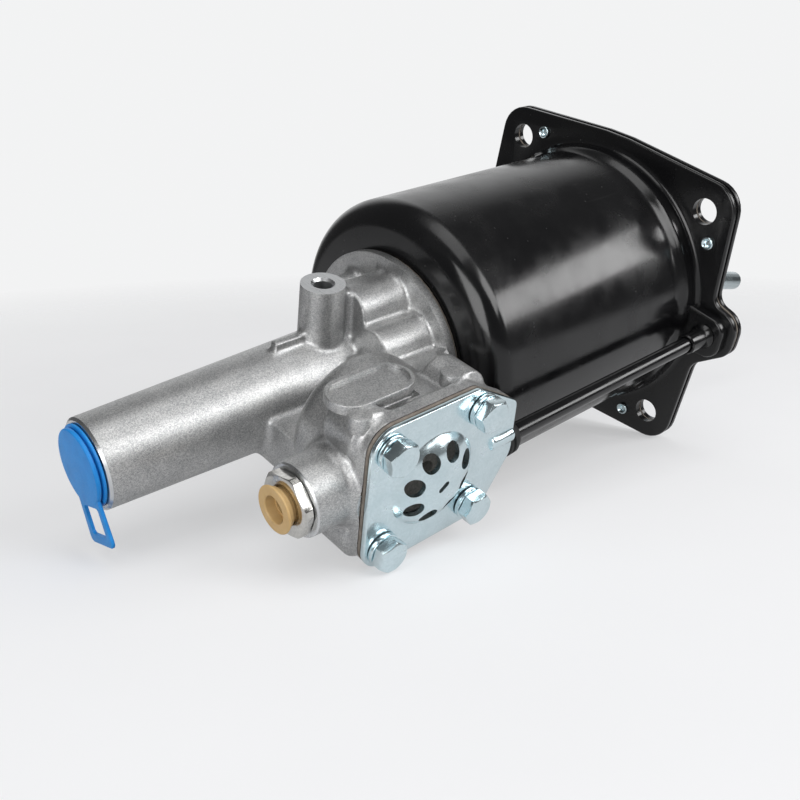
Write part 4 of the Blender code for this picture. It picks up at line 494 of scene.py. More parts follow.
@dataclass(frozen=True)
class BlackEnamel(Coating):
    """Glossy black paint with faint orange peel, dust and fine scratches."""

    colour: Colour = (0.004, 0.004, 0.0045)
    dust: Colour = (0.05, 0.05, 0.05)
    gloss: float = 0.14
    worn: float = 0.34
    peel: float = 0.012 * MM

    def paint(self, graph: Graph) -> None:
        """Paint gloss with worn patches, specks of dust, fine scratches and orange peel.

        Args:
            graph: The new material's tree.
        """
        cloud = graph.noise(14 * MM, 5.0)
        speck = graph.span(graph.cells(0.45 * MM), 0.998, 1.0)
        scratch = graph.noise(1.6 * MM, 2.0, graph.stretched((0.05, 1.0, 1.0)))
        line = graph.span(scratch, 0.70, 0.74)
        faint = graph.mix(line, 0.10, "MULTIPLY")
        graph.set(
            Base_Color=graph.blend(graph.mix(speck, faint), self.colour, self.dust),
            Roughness=graph.span(cloud, 0.35, 0.75, self.gloss, self.worn),
            Specular_IOR_Level=0.42,
            Coat_Weight=0.2,
            Coat_Roughness=0.12,
        )
        peel = graph.noise(1.4 * MM, 2.0)
        graph.bump(graph.mix(peel, graph.mix(line, 0.3, "MULTIPLY")), self.peel)


@dataclass(frozen=True)
class Metal(Coating):
    """Plated, turned or polished metal, with streaks along one axis and fine wear."""

    light: Colour
    dark: Colour
    roughness: float
    streak: Point = (1.0, 1.0, 1.0)
    streak_size: float = 0.8 * MM
    relief: float = 0.006 * MM

    def paint(self, graph: Graph) -> None:
        """Paint tone and bump from streaks, and duller patches from a cloud.

        Args:
            graph: The new material's tree.
        """
        streak = graph.noise(self.streak_size, 4.0, graph.stretched(self.streak))
        cloud = graph.noise(6 * MM, 3.0)
        tone = graph.span(graph.mix(streak, cloud, "MULTIPLY"), 0.12, 0.42)
        graph.set(
            Base_Color=graph.blend(tone, self.dark, self.light),
            Metallic=1.0,
            Roughness=graph.mix(graph.span(cloud, 0.3, 0.7, -0.06, 0.08), self.roughness),
        )
        graph.bump(streak, self.relief)


@dataclass(frozen=True)
class Moulded(Coating):
    """Moulded plastic, rubber, paper or felt: a mottled colour and a fine surface."""

    light: Colour
    dark: Colour
    roughness: float
    mottle: float = 3 * MM
    grain: float = 0.3 * MM
    relief: float = 0.01 * MM
    glow: float = 0.0

    def paint(self, graph: Graph) -> None:
        """Paint a mottled colour, a fine grain and a little light under the skin.

        Args:
            graph: The new material's tree.
        """
        mottle = graph.noise(self.mottle, 4.0)
        grain = graph.noise(self.grain, 3.0)
        graph.set(
            Base_Color=graph.blend(graph.span(mottle, 0.3, 0.7), self.dark, self.light),
            Roughness=graph.mix(graph.span(grain, 0.3, 0.7, -0.06, 0.06), self.roughness),
            Specular_IOR_Level=0.32,
        )
        if self.glow:
            graph.set(Subsurface_Weight=self.glow, Subsurface_Radius=(0.6 * MM, 0.8 * MM, 1.2 * MM))
        graph.bump(grain, self.relief)


class Finish(Enum):
    """The finishes of the servo's pieces."""

    CAST = CastAluminium()
    ENAMEL = BlackEnamel()
    ZINC = Metal((0.78, 0.90, 0.94), (0.65, 0.78, 0.82), 0.20, (1.0, 0.2, 1.0))
    NICKEL = Metal((0.78, 0.77, 0.74), (0.56, 0.55, 0.52), 0.17)
    TURNED = Metal((0.76, 0.77, 0.78), (0.60, 0.61, 0.62), 0.28, (1.0, 0.05, 0.05), 0.5 * MM)
    SPRING = Metal((0.42, 0.42, 0.44), (0.25, 0.25, 0.26), 0.34)
    POLISHED = Metal((0.68, 0.68, 0.70), (0.58, 0.58, 0.60), 0.12, (1.0, 0.05, 0.05), 0.6 * MM)
    RUBBER = Moulded((0.020, 0.020, 0.020), (0.012, 0.012, 0.012), 0.55)
    PAPER = Moulded((0.24, 0.21, 0.18), (0.15, 0.13, 0.11), 0.85, 2 * MM, 0.2 * MM, 0.03 * MM)
    BLUE = Moulded((0.018, 0.265, 0.69), (0.012, 0.215, 0.60), 0.42, 5 * MM, 0.5 * MM, 0.008 * MM, 0.15)
    TAN = Moulded((0.60, 0.41, 0.19), (0.53, 0.35, 0.15), 0.38, 4 * MM, 0.4 * MM, 0.006 * MM, 0.1)
    WHITE = Moulded((0.72, 0.70, 0.64), (0.64, 0.62, 0.56), 0.45)
    FELT = Moulded((0.26, 0.25, 0.23), (0.14, 0.135, 0.125), 0.95, 0.8 * MM, 0.25 * MM, 0.15 * MM)


SLOT_FINISH: dict[str, Finish] = {
    "black_enamel": Finish.ENAMEL,
    "raw_aluminium": Finish.CAST,
    "turned_aluminium": Finish.TURNED,
    "zinc_plate": Finish.ZINC,
    "nickel": Finish.NICKEL,
    "spring_steel": Finish.SPRING,
    "plunger_steel": Finish.POLISHED,
    "black_rubber": Finish.RUBBER,
    "gasket_paper": Finish.PAPER,
    "blue_plastic": Finish.BLUE,
    "tan_plastic": Finish.TAN,
    "white_plastic": Finish.WHITE,
    "felt": Finish.FELT,
}


class Workshop:
    """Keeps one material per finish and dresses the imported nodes."""

    def __init__(self) -> None:
        """Start with no materials made."""
        self.made: dict[Finish, bpy.types.Material] = {}

    def finish(self, kind: Finish) -> bpy.types.Material:
        """Return the shared material of a finish.

        Args:
            kind: The finish.

        Returns:
            The material, made at its first use.
        """
        if kind not in self.made:
            self.made[kind] = kind.value.material(kind.name.lower())
        return self.made[kind]

    def dress(self, node: str, kind: Finish) -> None:
        """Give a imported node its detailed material."""
        for slot in frame["nodes"][node].material_slots:
            slot.material = self.finish(kind)

    def dress_all(self) -> None:
        """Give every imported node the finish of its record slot."""
        for entry in frame["record"]["subparts"]:
            self.dress(entry["node"], SLOT_FINISH[entry["material_slot"]])
            log.info("dressed %s", entry["node"])


@dataclass
class SubAssembly:
    """A group of pieces that is built on the bench and dressed in the workshop.

    Attributes:
        bench: The hand operations.
        shop: The finishes.
    """

    bench: Bench
    shop: Workshop

    def coat(self, kind: Finish, *pieces: Piece) -> None:
        """Give pieces or cutting tools one finish."""
        for piece in pieces:
            piece.data.materials.clear()
            piece.data.materials.append(self.shop.finish(kind))

    def deliver(self, obj: Piece, name: str, slot: str, *nodes: str, body: str = "servo_body",
                shade: float = 32.0) -> Piece:
        """Shade, name and hand over a finished piece, coated as its slot says if it is still bare.

        Args:
            obj: The piece.
            name: Its name.
            slot: The record's material slot.
            *nodes: CAD nodes that it stands for.
            body: The body that it rides on.
            shade: Sharpest angle that is still shaded smooth, in degrees.

        Returns:
            The piece.
        """
        if not any(obj.data.materials):
            self.coat(SLOT_FINISH[slot], obj)
        self.bench.shade(obj, shade)
        obj.name = obj.data.name = name
        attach(obj, body)
        if nodes:
            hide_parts(*nodes)
        log.info("%s: %d faces", name, len(obj.data.polygons))
        return obj


@dataclass
class CylinderPot(SubAssembly):
    """Deep-drawn black pot with its flange, rear cover and rivets."""

    radius: float = 55.0
    wall: float = 2.2
    shoulder: float = 9.0
    mouth: float = 17.3
    root_radius: float = 57.1
    root_length: float = 6.0
    fillet: float = 2.2
    flange_half: float = 59.6
    corner: float = 12.0
    bulge: float = 4.4
    crown_bend: float = 80.0
    ear_reach: float = 76.0
    hole_half: float = 48.0
    hole_radius: float = 5.25
    rivet_circle: float = 64.6
    rivet_angle: float = 55.5
    rivet_hole: float = 2.3
    channel_height: float = 4.6
    channel_half: float = 8.0
    channel_wall: float = 1.8
    cover_sheet: float = 2.0
    window: float = 29.0

    def outline(self) -> Outline:
        """Return the flange's outline in (Y, Z): bulged sides and the ear."""
        side, crown = self.flange_half, self.flange_half + self.bulge
        return rounded([
            (side, side, self.corner), (0.0, crown, self.crown_bend), (-side, side, self.corner),
            (-side - 0.8 * self.bulge, 13.5, 6.0), (-self.ear_reach, 10.5, 9.0), (-self.ear_reach, -4.5, 7.5),
            (-side - 0.45 * self.bulge, -16.0, 8.0), (-side, -side, self.corner),
            (0.0, -crown, self.crown_bend), (side, -side, self.corner), (crown, 0.0, self.crown_bend),
        ])

    def rivets(self) -> list[Point]:
        """Return the rivets' places."""
        return round_axis(on_circle(self.rivet_circle, self.rivet_angle, 4))

    def holes(self, low: float, high: float) -> Piece:
        """Return the cutters for the bolt and rivet holes between two stations."""
        bench = self.bench
        bolts = bench.rods("bolt_hole", self.hole_radius, low, high, round_axis(on_square(self.hole_half)))
        rivets = bench.rods("rivet_hole", self.rivet_hole, low, high, self.rivets(), sides=24)
        return bench.gather("holes", *bolts, *rivets)

    def channel(self, half: float, front: float, back: float, edge: float) -> Piece:
        """Return the pressed air channel between the root and the ear, or the hollow under it."""
        inner, outer, z = self.wall - self.root_radius, PIPE[1] - half, PIPE[2]
        tool = self.bench.plate("channel", rounded([
            (inner, z + 1.25 * half, 1.0), (outer, z + half, 0.8 * half),
            (outer, z - half, 0.8 * half), (inner, z - 1.25 * half, 1.0),
        ]), front, back)
        return self.bench.bevel(tool, edge, 4, 60.0) if edge else tool

    def shell(self) -> Piece:
        """Return the pot's outside as one turned solid, with a fillet at the flange."""
        bend, root, end = self.shoulder, FLANGE_FRONT - self.root_length, FLANGE_FRONT + 1.3
        foot = self.root_radius + self.fillet
        profile = [(POT_FRONT, 0.0), (POT_FRONT, 30.0)]
        profile += arc(POT_FRONT + bend, self.radius - bend, bend, 180, 90, 14)
        rise = self.root_radius - self.radius
        for share, along in ((0.0, -7.0), (0.06, -5.4), (0.25, -3.9), (0.6, -2.4), (0.9, -1.1), (1.0, 0.0)):
            profile.append((root + along, self.radius + share * rise))
        profile += arc(FLANGE_FRONT - self.fillet, foot, self.fillet, 270, 360, 5)
        return self.bench.turned("pot", profile + [(end, foot), (end, 0.0)], segments=160)

    def cavity(self) -> Piece:
        """Return the space inside the pot, open at the flange."""
        bend, bore, front = self.shoulder - self.wall, self.radius - self.wall, POT_FRONT - 2
        profile = [(front, 0.0), (front, self.mouth), (POT_FRONT + self.wall, self.mouth)]
        profile += arc(POT_FRONT + self.shoulder, bore - bend, bend, 180, 90, 8)
        return self.bench.turned("hollow", profile + [(1.0, bore), (1.0, 0.0)], segments=128)

    def build_pot(self) -> None:
        """Build the pot: shell, flange, channel, hollow and holes."""
        bench, top = self.bench, FLANGE_FRONT - self.channel_height
        pot = self.shell()
        self.coat(Finish.ENAMEL, pot)
        flange = bench.bevel(bench.plate("flange", self.outline(), FLANGE_FRONT, FLANGE_BACK), 0.8, 3, 60.0)
        bench.fuse(pot, flange, self.channel(self.channel_half, top, FLANGE_BACK - 0.4, 2.2))
        inside = self.channel(self.channel_half - self.channel_wall, top + self.channel_wall, 0.0, 0.0)
        bench.cut(pot, inside, self.cavity(), bench.rod("sleeve_hole", PIPE_HOLE, top - 2, top + 3, PIPE))
        bench.cut(pot, self.holes(FLANGE_FRONT - 2, FLANGE_BACK + 2))
        low, high = POT_FRONT - 2, POT_FRONT + 4
        screws = bench.rods("screw_hole", SCREW_HOLE, low, high, SCREWS)
        bench.cut(pot, bench.gather("holes", *screws, bench.rod("air_hole", AIR_HOLE, low, high, GALLERY)))
        self.deliver(pot, "deep_drawn_pot", "black_enamel", "cylinder_pot", shade=38.0)

    def build_rear_cover(self) -> None:
        """Build the rear cover with its window and countersunk rivet holes."""
        bench, low, high = self.bench, -self.cover_sheet - 2, 2
        cover = bench.bevel(bench.plate("cover", self.outline(), -self.cover_sheet, 0.0), 0.4, 2, 60.0)
        self.coat(Finish.ENAMEL, cover)
        bench.cut(cover, bench.rod("window", self.window, low, high, sides=128), self.holes(low, high))
        bench.cut(cover, bench.gather("sinks", *bench.rods("sink", 3.0, -1.2, high, self.rivets(), sides=24)))
        self.deliver(cover, "gearbox_side_cover", "black_enamel", "rear_cover")

    def build_rivets(self) -> None:
        """Build the hollow rivets that hold pot, gasket and cover together."""
        head, tail = FLANGE_FRONT - 0.3, -0.9
        profile = [(head + 0.4, 0.0), (head + 0.4, 0.9), (head - 0.5, 1.5)]
        profile += arc(head - 0.35, 2.1, 0.55, 190, 60, 5)
        profile += [(head, 2.6), (head, 2.0), (tail, 2.0), (tail, 2.7), (-0.1, 2.7), (-0.1, 0.0)]
        for i, place in enumerate(self.rivets(), start=1):
            rivet = self.bench.turned("rivet", profile, place, segments=32)
            self.deliver(rivet, f"hollow_rivet_{i}", "zinc_plate", f"flange_rivet_{i}")

    def build(self) -> None:
        """Build the whole sub-assembly."""
        self.build_pot()
        self.build_rear_cover()
        self.build_rivets()


@dataclass
class CastHousing(SubAssembly):
    """Die-cast valve housing: soft cast skin with crisp machined faces."""

    voxel: float = 0.5
    fillet: float = 1.1
    kept_share: float = 0.4
    disc_radius: float = 38.3
    nose_radius: float = 15.0
    root_radius: float = 18.4
    spigot: float = 17.0
    boss_end: float = -149.1
    screw_boss: float = 9.0
    gallery_boss: float = 8.6
    bolt_boss: float = 8.7
    inlet_boss: float = 11.7
    inlet_collar: float = 13.0
    barrel_radius: float = 24.4
    barrel_edge: float = 6.0
    barrel_length: float = 36.9
    bleeder_foot: float = 8.4
    bleeder_tip: float = 7.7
    bleeder_top: float = 37.0
    pad_spot: Pair = (-181.4, -52.8)
    pad_half: Pair = (15.0, 7.5)
    pad_top: float = 35.0
    inlet_end: float = -209.3

    def tube(self) -> list[Piece]:
        """Return the nose tube, the disc and what stands on the tube."""
        bench, back = self.bench, DISC_FRONT + 1
        return [
            bench.rod("tube", self.nose_radius, NOSE - 1, back, sides=96, end_radius=self.root_radius),
            bench.rod("disc", self.disc_radius + 0.8, DISC_FRONT, DISC_BACK + 0.8, sides=128),
            bench.rod("bleeder", self.bleeder_foot, 0.0, self.bleeder_top + 0.8, (BLEEDER_X, 0, 0), ALONG_Z, 64,
                      self.bleeder_tip),
            bench.block("bleeder_wall", (BLEEDER_X, -4.0, 0.0), (back, 4.0, 33.0)),
            bench.block("tube_rib", (BLEEDER_X - 20.0, -1.7, 0.0), (BLEEDER_X, 1.7, 20.4)),
        ]

    def disc_bosses(self) -> list[Piece]:
        """Return the bosses on the disc and the web between them."""
        bench, front, back = self.bench, self.boss_end, DISC_FRONT + 1
        web = [(0.0, 0.0), (0.0, SCREW_CIRCLE), SCREWS[0][1:], GALLERY[1:], (GALLERY[1], 0.0)]
        return [
            *bench.rods("boss", self.screw_boss, front, back, SCREWS, sides=64),
            bench.rod("gallery", self.gallery_boss, front - 1, back, GALLERY, sides=64),
            bench.rod("side_boss", 5.0, DISC_FRONT - 12, back, (0, 16.0, 21.5)),
            bench.plate("web", web, front + 0.8, back),
        ]

    def valve_block(self) -> list[Piece]:
        """Return the barrel, cover flange, bolt bosses, neck, duct and inlet boss."""
        bench, face, outer = self.bench, ExhaustCover.corners(0.2), BLOCK_FACE - 1.5
        edge, radius, inner = self.barrel_edge, self.barrel_radius, BLOCK_FACE - self.barrel_length
        barrel = [(inner, 0.0)] + arc(inner + edge, radius - edge, edge, 180, 90, 8)
        collar, start, end = VALVE_X - 23.8, self.inlet_end - 1, VALVE_X - 13
        boss, wide = self.inlet_boss, self.inlet_collar
        inlet = [(start, 0.0), (start, boss), (collar - 3.5, 12.0), (collar - 2.9, wide), (collar, wide),
                 (collar + 1.0, boss), (end, boss), (end, 0.0)]
        return [
            bench.turned("barrel", barrel + [(outer, radius), (outer, 0.0)], VALVE, ALONG_MINUS_Y),
            bench.plate("face", face, BLOCK_FACE - 4.5, BLOCK_FACE + 0.8, VALVE, ALONG_MINUS_Y),
            bench.block("neck", (VALVE_X - 20.2, -49.5, -14.0), (DISC_FRONT - 6.0, -7.5, 3.6)),
            bench.block("oval_post", (-194.6, -57.6, VALVE_Z), (-170.6, -46.4, 33.0), 5.0),
            self.duct(),
            *bench.rods(
                "bolt_boss", self.bolt_boss, BLOCK_FACE - 17, BLOCK_FACE - 4, COVER_BOLTS, ALONG_MINUS_Y, 64
            ),
            bench.turned("inlet_boss", inlet, INLET),
        ]

    def duct(self) -> Piece:
        """Return the rounded body that leads the air from the valve block to the gallery boss."""
        left, right, outer, inner = VALVE_X + 12.2, VALVE_X + 25.9, 8.5 - BLOCK_FACE, -13.7
        duct = self.bench.plate("duct", rounded([
            (left, outer, 0.0), (right, outer, 0.0), (DISC_FRONT + 1, -32.9, 3.0), (DISC_FRONT + 1, inner, 0.0),
            (left, inner, 0.0),
        ]), -8.0, 27.0, turn=ALONG_Z)
        ramp = [(-62.0, 25.0), (-26.6, 16.0), (-10.0, 16.0), (-10.0, 40.0), (-62.0, 40.0)]
        self.bench.cut(duct, self.bench.plate("ramp", ramp, VALVE_X, DISC_BACK + 4))
        return self.bench.bevel(duct, 3.0, 4)

    def skin(self, solid: Piece) -> Piece:
        """Melt the gathered solids into one skin whose inner corners have cast fillets."""
        bench, size, grow = self.bench, self.voxel * MM, self.fillet * MM
        bench.apply(solid, "REMESH", mode="VOXEL", voxel_size=size)
        for step in (grow, -grow):
            bench.apply(solid, "DISPLACE", strength=step, mid_level=0.0)
            bench.apply(solid, "REMESH", mode="VOXEL", voxel_size=size)
        bench.apply(solid, "SMOOTH", factor=0.5, iterations=1)
        return bench.apply(solid, "DECIMATE", ratio=self.kept_share)

    def pad(self) -> Piece:
        """Return the plain oval pad with its thin rim."""
        bench, spot, top, (length, width) = self.bench, (*self.pad_spot, 0.0), self.pad_top, self.pad_half
        pad = bench.plate("pad", stadium(length, width), top - 3.2, top, spot, ALONG_Z)
        floor = bench.plate("floor", stadium(length - 1.3, width - 1.3), top - 1.1, top + 2, spot, ALONG_Z)
        return bench.cut(bench.bevel(pad, 0.5, 3, 60.0), floor)

    def marks(self) -> list[Piece]:
        """Return the two round ejector marks beside the pad."""
        spots = [(-192.7, -61.8, 0), (-155.9, -60.8, 0)]
        return [self.bench.bevel(mark, 0.25, 2, 60.0)
                for mark in self.bench.rods("mark", 3.5, 29.0, 34.25, spots, ALONG_Z, 40)]

    def facing_tool(self) -> Piece:
        """Return the tool that trims the disc's rim and back to size."""
        rim, front, back, reach = self.disc_radius, DISC_FRONT - 0.3, DISC_BACK + 4, 46.0
        return self.bench.turned("rim", [
            (front, rim), (front, reach), (back, reach), (back, self.spigot), (DISC_BACK, self.spigot),
            (DISC_BACK, rim - 0.4), (DISC_BACK - 0.4, rim),
        ], segments=160)

    def main_bores(self) -> Piece:
        """Return the tools for the hydraulic bore and the relay valve's bores."""
        outside = NOSE - 5
        bore = self.bench.turned("bore", [
            (outside, 0.0), (outside, 22.0), (NOSE + 0.8, 22.0), (NOSE + 0.8, 15.0), (NOSE, 14.2), (NOSE, 5.2),
            (NOSE + 11, 5.2), (NOSE + 14, 9.8), (-132.0, 9.8), (-132.0, 13.3), (-115.0, 13.3), (-115.0, 0.0),
        ])
        valve_bore = self.bench.turned("valve_bore", [
            (80.0, 0.0), (80.0, 60.0), (BLOCK_FACE, 60.0), (BLOCK_FACE, 15.0), (58.9, 15.0), (58.9, 12.0),
            (45.9, 12.0), (45.9, 8.3), (33.5, 8.3), (33.5, 0.0),
        ], VALVE, ALONG_MINUS_Y, 64)
        return self.bench.gather("first_tools", bore, valve_bore)

    def port_bores(self) -> Piece:
        """Return the tools for the bleeder, the inlet, the pipe, the gallery and the screws."""
        bench, top, end, back = self.bench, self.bleeder_top, self.inlet_end, DISC_BACK + 2
        return bench.gather(
            "second_tools",
            bench.turned("bleeder", [
                (60.0, 0.0), (60.0, 15.0), (top, 15.0), (top, 4.1), (top - 0.9, 3.2), (5.0, 3.2), (5.0, 0.0),
            ], (BLEEDER_X, 0, 0), ALONG_Z, 64),
            bench.turned("inlet", [
                (end - 5, 0.0), (end - 5, 16.0), (end + 0.5, 16.0), (end + 0.5, 11.7), (end, 11.2), (end, 8.3),
                (end + 10.3, 8.3), (end + 10.3, 4.0), (VALVE_X, 4.0), (VALVE_X, 0.0),
            ], INLET, segments=64),
            bench.rod("pipe_socket", PIPE_HOLE, VALVE_X + 7.5, VALVE_X + 38, PIPE),
            bench.rod("gallery_hole", AIR_HOLE, self.boss_end + 2, back, GALLERY),
            *bench.rods("screw_hole", SCREW_HOLE, -141.8, back, SCREWS),
            *bench.rods("bolt_hole", BOLT_HOLE, 57.2, BLOCK_FACE + 1, COVER_BOLTS, ALONG_MINUS_Y, 24),
        )

    def build(self) -> None:
        """Build the housing: the cast skin first, then its crisp details, then the machining."""
        bench = self.bench
        solid = self.skin(bench.gather("housing", *self.tube(), *self.disc_bosses(), *self.valve_block()))
        self.coat(Finish.CAST, solid)
        bench.fuse(solid, bench.rod("spigot", self.spigot, DISC_BACK - 2, DISC_BACK + 7, sides=128))
        bench.cut(solid, bench.block("undercut", (-189.0, -61.4, 29.0), (-169.0, -58.0, 33.4), 0.5))
        bench.fuse(solid, self.pad(), *self.marks())
        face, first, second = self.facing_tool(), self.main_bores(), self.port_bores()
        self.coat(Finish.CAST, face)
        self.coat(Finish.TURNED, first, second)
        bench.cut(solid, face, first, second)
        self.deliver(solid, "die_cast_housing", "raw_aluminium", "valve_housing", shade=40.0)


@dataclass
class ExhaustCover(SubAssembly):
    """Pressed cover with its perforated dome, four bolts and spring washers."""

    inner: float = 69.5
    outer: float = 71.3
    dome_radius: float = 16.4
    dome_height: float = 5.4
    sheet: float = 1.3
    hole_circle: float = 11.2
    hole_radius: float = 3.0
    hole_angle: float = 27.0
    slot_slant: float = math.radians(35.0)
    head_seat: float = 73.5
    head_radius: float = 5.0 / math.cos(math.pi / 6)
    head_height: float = 4.0
    thread: float = 3.0
    washer_radius: float = 5.6
    washer_height: float = 1.6
    split_slant: float = 0.45
    # Corner of each bolt in turn, and how far its head is screwed round in degrees.
    bolts: tuple[tuple[int, float], ...] = ((3, 22.0), (1, 8.0), (0, 50.0), (2, 33.0))

    @staticmethod
    def corners(inset: float) -> Outline:
        """Return the outline of cover, gasket and block face, smaller by an inset."""
        left, bottom, right, top = inset - 25.2, inset - 26.0, 36.6 - inset, 25.8 - inset
        return rounded([
            (left, bottom, 8.5 - inset), (24.7, bottom, 6.0 - inset), (right, -6.0, 8.0 - inset),
            (right - 1.4, 14.5, 4.0 - inset), (16.6, top, 5.0 - inset), (left, top, 8.5 - inset),
        ])

    def dome(self) -> Piece:
        """Return the dome's sheet as one turned solid."""
        r, h, t, y = self.dome_radius, self.dome_height, self.sheet, self.outer
        shape = [(1.09, -0.10), (1.05, 0.0), (1.0, 0.03), (0.965, 0.10), (0.93, 0.21), (0.85, 0.42), (0.72, 0.68),
                 (0.60, 0.85), (0.52, 0.92), (0.43, 0.96), (0.30, 0.985), (0.15, 1.0), (0.0, 1.0)]
        outside = [(y + share * h, r * part) for part, share in shape]
        inside = [(y + share * h - t, max(r * part - 0.55 * t * (part > 0.4), 0.0)) for part, share in shape]
        return self.bench.turned("dome", outside + inside[::-1], VALVE, ALONG_MINUS_Y)

    def tab(self) -> Piece:
        """Return the half-round tab that is pressed out at the cover's side."""
        bench = self.bench
        tab = bench.rod("tab", 2.8, VALVE_X + 25.4, VALVE_X + 35.9, (0, -70.2, VALVE_Z + 1.2), sides=40)
        return bench.cut(bench.bevel(tab, 1.2, 4, 60.0),
                         bench.block("trim", (VALVE_X + 20, -70.1, -10), (VALVE_X + 40, -60, 30)))

    def build_cover(self) -> None:
        """Build the cover plate, dome, tab, holes and slot."""
        bench, low, high, top = self.bench, self.inner - 2, self.outer + 2, self.outer + 9
        cover = bench.plate("cover", self.corners(0.0), self.inner, self.outer, VALVE, ALONG_MINUS_Y)
        bench.bevel(cover, 0.45, 3, 60.0)
        self.coat(Finish.ZINC, cover)
        bench.cut(cover, bench.rod("mouth", self.dome_radius - 1.2, low, high, VALVE, ALONG_MINUS_Y, 96))
        bench.fuse(cover, self.dome(), self.tab())
        spots = round_valve(on_circle(self.hole_circle, self.hole_angle, 8))
        holes = bench.rods("hole", self.hole_radius, self.outer - 1.0, top, spots, ALONG_MINUS_Y, 40)
        c, s = math.cos(self.slot_slant), math.sin(self.slot_slant)
        slot = [(u * c - v * s, u * s + v * c) for u, v in stadium(2.2, 0.95, 6)]
        bores = bench.rods("bore", BOLT_HOLE, low, high, COVER_BOLTS, ALONG_MINUS_Y, 32)
        bench.cut(cover, bench.gather("holes", *holes))
        bench.cut(cover, bench.plate("slot", slot, self.outer, top, VALVE, ALONG_MINUS_Y))
        bench.cut(cover, bench.gather("bores", *bores))
        self.deliver(cover, "pressed_exhaust_cover", "zinc_plate", "exhaust_cover", shade=38.0)

    def bolt(self, place: Point, slant: float) -> Piece:
        """Return one hexagon bolt.

        Args:
            place: The bolt's corner round the valve axis.
            slant: How far the head is screwed round, in degrees.

        Returns:
            The bolt.
        """
        bench, top, thread = self.bench, self.head_height, self.thread
        head = bench.rod("head", self.head_radius, 0.0, top, sides=6, turn=(0, 0, math.radians(slant)))
        bell = [(-1.0, 0.0), (-1.0, 7.0), (2.9, 7.0), (3.25, 5.75), (top, 4.75), (top, 0.0)]
        bench.keep_common(head, bench.turned("bell", bell, turn=ALONG_Z))
        bench.bevel(head, 0.12, 2, 25.0)
        shank = [(-16.0, 0.0), (-16.0, 2.4), (-15.4, thread), (0.6, thread), (0.6, 0.0)]
        bench.fuse(head, bench.turned("shank", shank, turn=ALONG_Z, segments=40))
        return bench.settle(head, (place[0], -self.head_seat, place[2]), ALONG_MINUS_Y)

    def washer(self, place: Point, slant: float) -> Piece:
        """Return one split spring washer under a bolt head."""
        bench, low, radius = self.bench, self.outer + 0.3, self.washer_radius
        high = low + self.washer_height
        profile = [(low, BOLT_HOLE), (low, radius), (high, radius), (high, BOLT_HOLE)]
        washer = bench.bevel(bench.turned("washer", profile, turn=ALONG_Z, segments=72), 0.25, 2, 60.0)
        split = bench.block("split", (-0.45, 0.0, low - 1), (0.45, 8.0, low + 3))
        for turn in ((0, self.split_slant, 0), (0, 0, math.radians(slant))):
            bench.settle(split, (0, 0, 0), turn)
        return bench.settle(bench.cut(washer, split), place, ALONG_MINUS_Y)

    def build_bolts(self) -> None:
        """Build the bolts and washers, each turned a little differently."""
        for i, (corner, slant) in enumerate(self.bolts, start=1):
            bolt = self.bolt(COVER_BOLTS[corner], slant)
            self.deliver(bolt, f"hexagon_bolt_{i}", "zinc_plate", f"cover_bolt_{i}", shade=25.0)
            washer = self.washer(COVER_BOLTS[corner], 40.0 * i)
            self.deliver(washer, f"split_washer_{i}", "zinc_plate", f"spring_washer_{i}")

    def build(self) -> None:
        """Build the whole sub-assembly."""
        self.build_cover()
        self.build_bolts()


@dataclass
class AirInlet(SubAssembly):
    """Push-in fitting with its release collet."""

    hex_radius: float = 19.0 / math.sqrt(3)
    hex_turn: float = math.radians(15.0)
    back: float = -209.6
    front: float = -213.0
    seat: float = -209.3
    collet_face: float = -216.3
    slit_half: float = 0.5

    def build_fitting(self) -> None:
        """Build the nickel fitting: hexagon, collar, thread and socket."""
        bench, front, back, mouth = self.bench, self.front, self.back, self.front - 2
        body = bench.rod("hexagon", self.hex_radius, front - 1, back + 1, sides=6)
        bench.settle(body, INLET, (self.hex_turn, 0.0, 0.0))
        bell = [(front, 0.0), (front, 9.2), (front + 0.6, 10.4), (back - 0.4, 10.4), (back, 9.8), (back, 0.0)]
        bench.keep_common(body, bench.turned("bell", bell, INLET, segments=128))
        self.coat(Finish.NICKEL, body)
        bench.fuse(body, bench.turned("collar", [
            (back - 0.2, 0.0), (back - 0.2, 8.8), (self.seat, 8.8), (self.seat, 8.0), (-199.3, 8.0), (-199.3, 0.0),
        ], INLET))
        bench.cut(body, bench.turned("socket", [
            (mouth, 0.0), (mouth, 7.0), (front, 6.3), (front + 0.4, 5.9), (-202.0, 5.9), (-202.0, 3.4),
            (-198.0, 3.4), (-198.0, 0.0),
        ], INLET))
        self.deliver(body, "push_in_fitting", "nickel", "inlet_fitting", shade=28.0)

    def build_collet(self) -> None:
        """Build the tan release collet: dished flange and slit sleeve."""
        bench, face, half = self.bench, self.collet_face, self.slit_half
        profile = [(face + 0.25, 4.35), (face, 4.6), (face, 7.2)]
        profile += arc(face + 0.35, 7.25, 0.35, 180, 60, 4)
        profile += [(face + 0.8, 7.45), (face + 0.9, 6.8), (face + 2.3, 6.5), (face + 2.3, 5.6)]
        profile += [(-207.5, 5.6), (-207.5, 3.5), (face + 3.4, 3.5), (face + 3.4, 4.1), (face + 1.6, 4.1)]
        collet = bench.turned("collet", profile, INLET)
        self.coat(Finish.TAN, collet)
        slits = [bench.block("slit", (face + 4.2, -half, 3.0), (-206.0, half, 6.0)) for _ in range(4)]
        for i, slit in enumerate(slits):
            bench.settle(slit, INLET, (math.radians(45 + 90 * i), 0, 0))
        bench.cut(collet, bench.gather("slits", *slits))
        self.deliver(collet, "release_collet", "tan_plastic", "inlet_collet", body="collet_body")

    def build(self) -> None:
        """Build the whole sub-assembly."""
        self.build_fitting()
        self.build_collet()


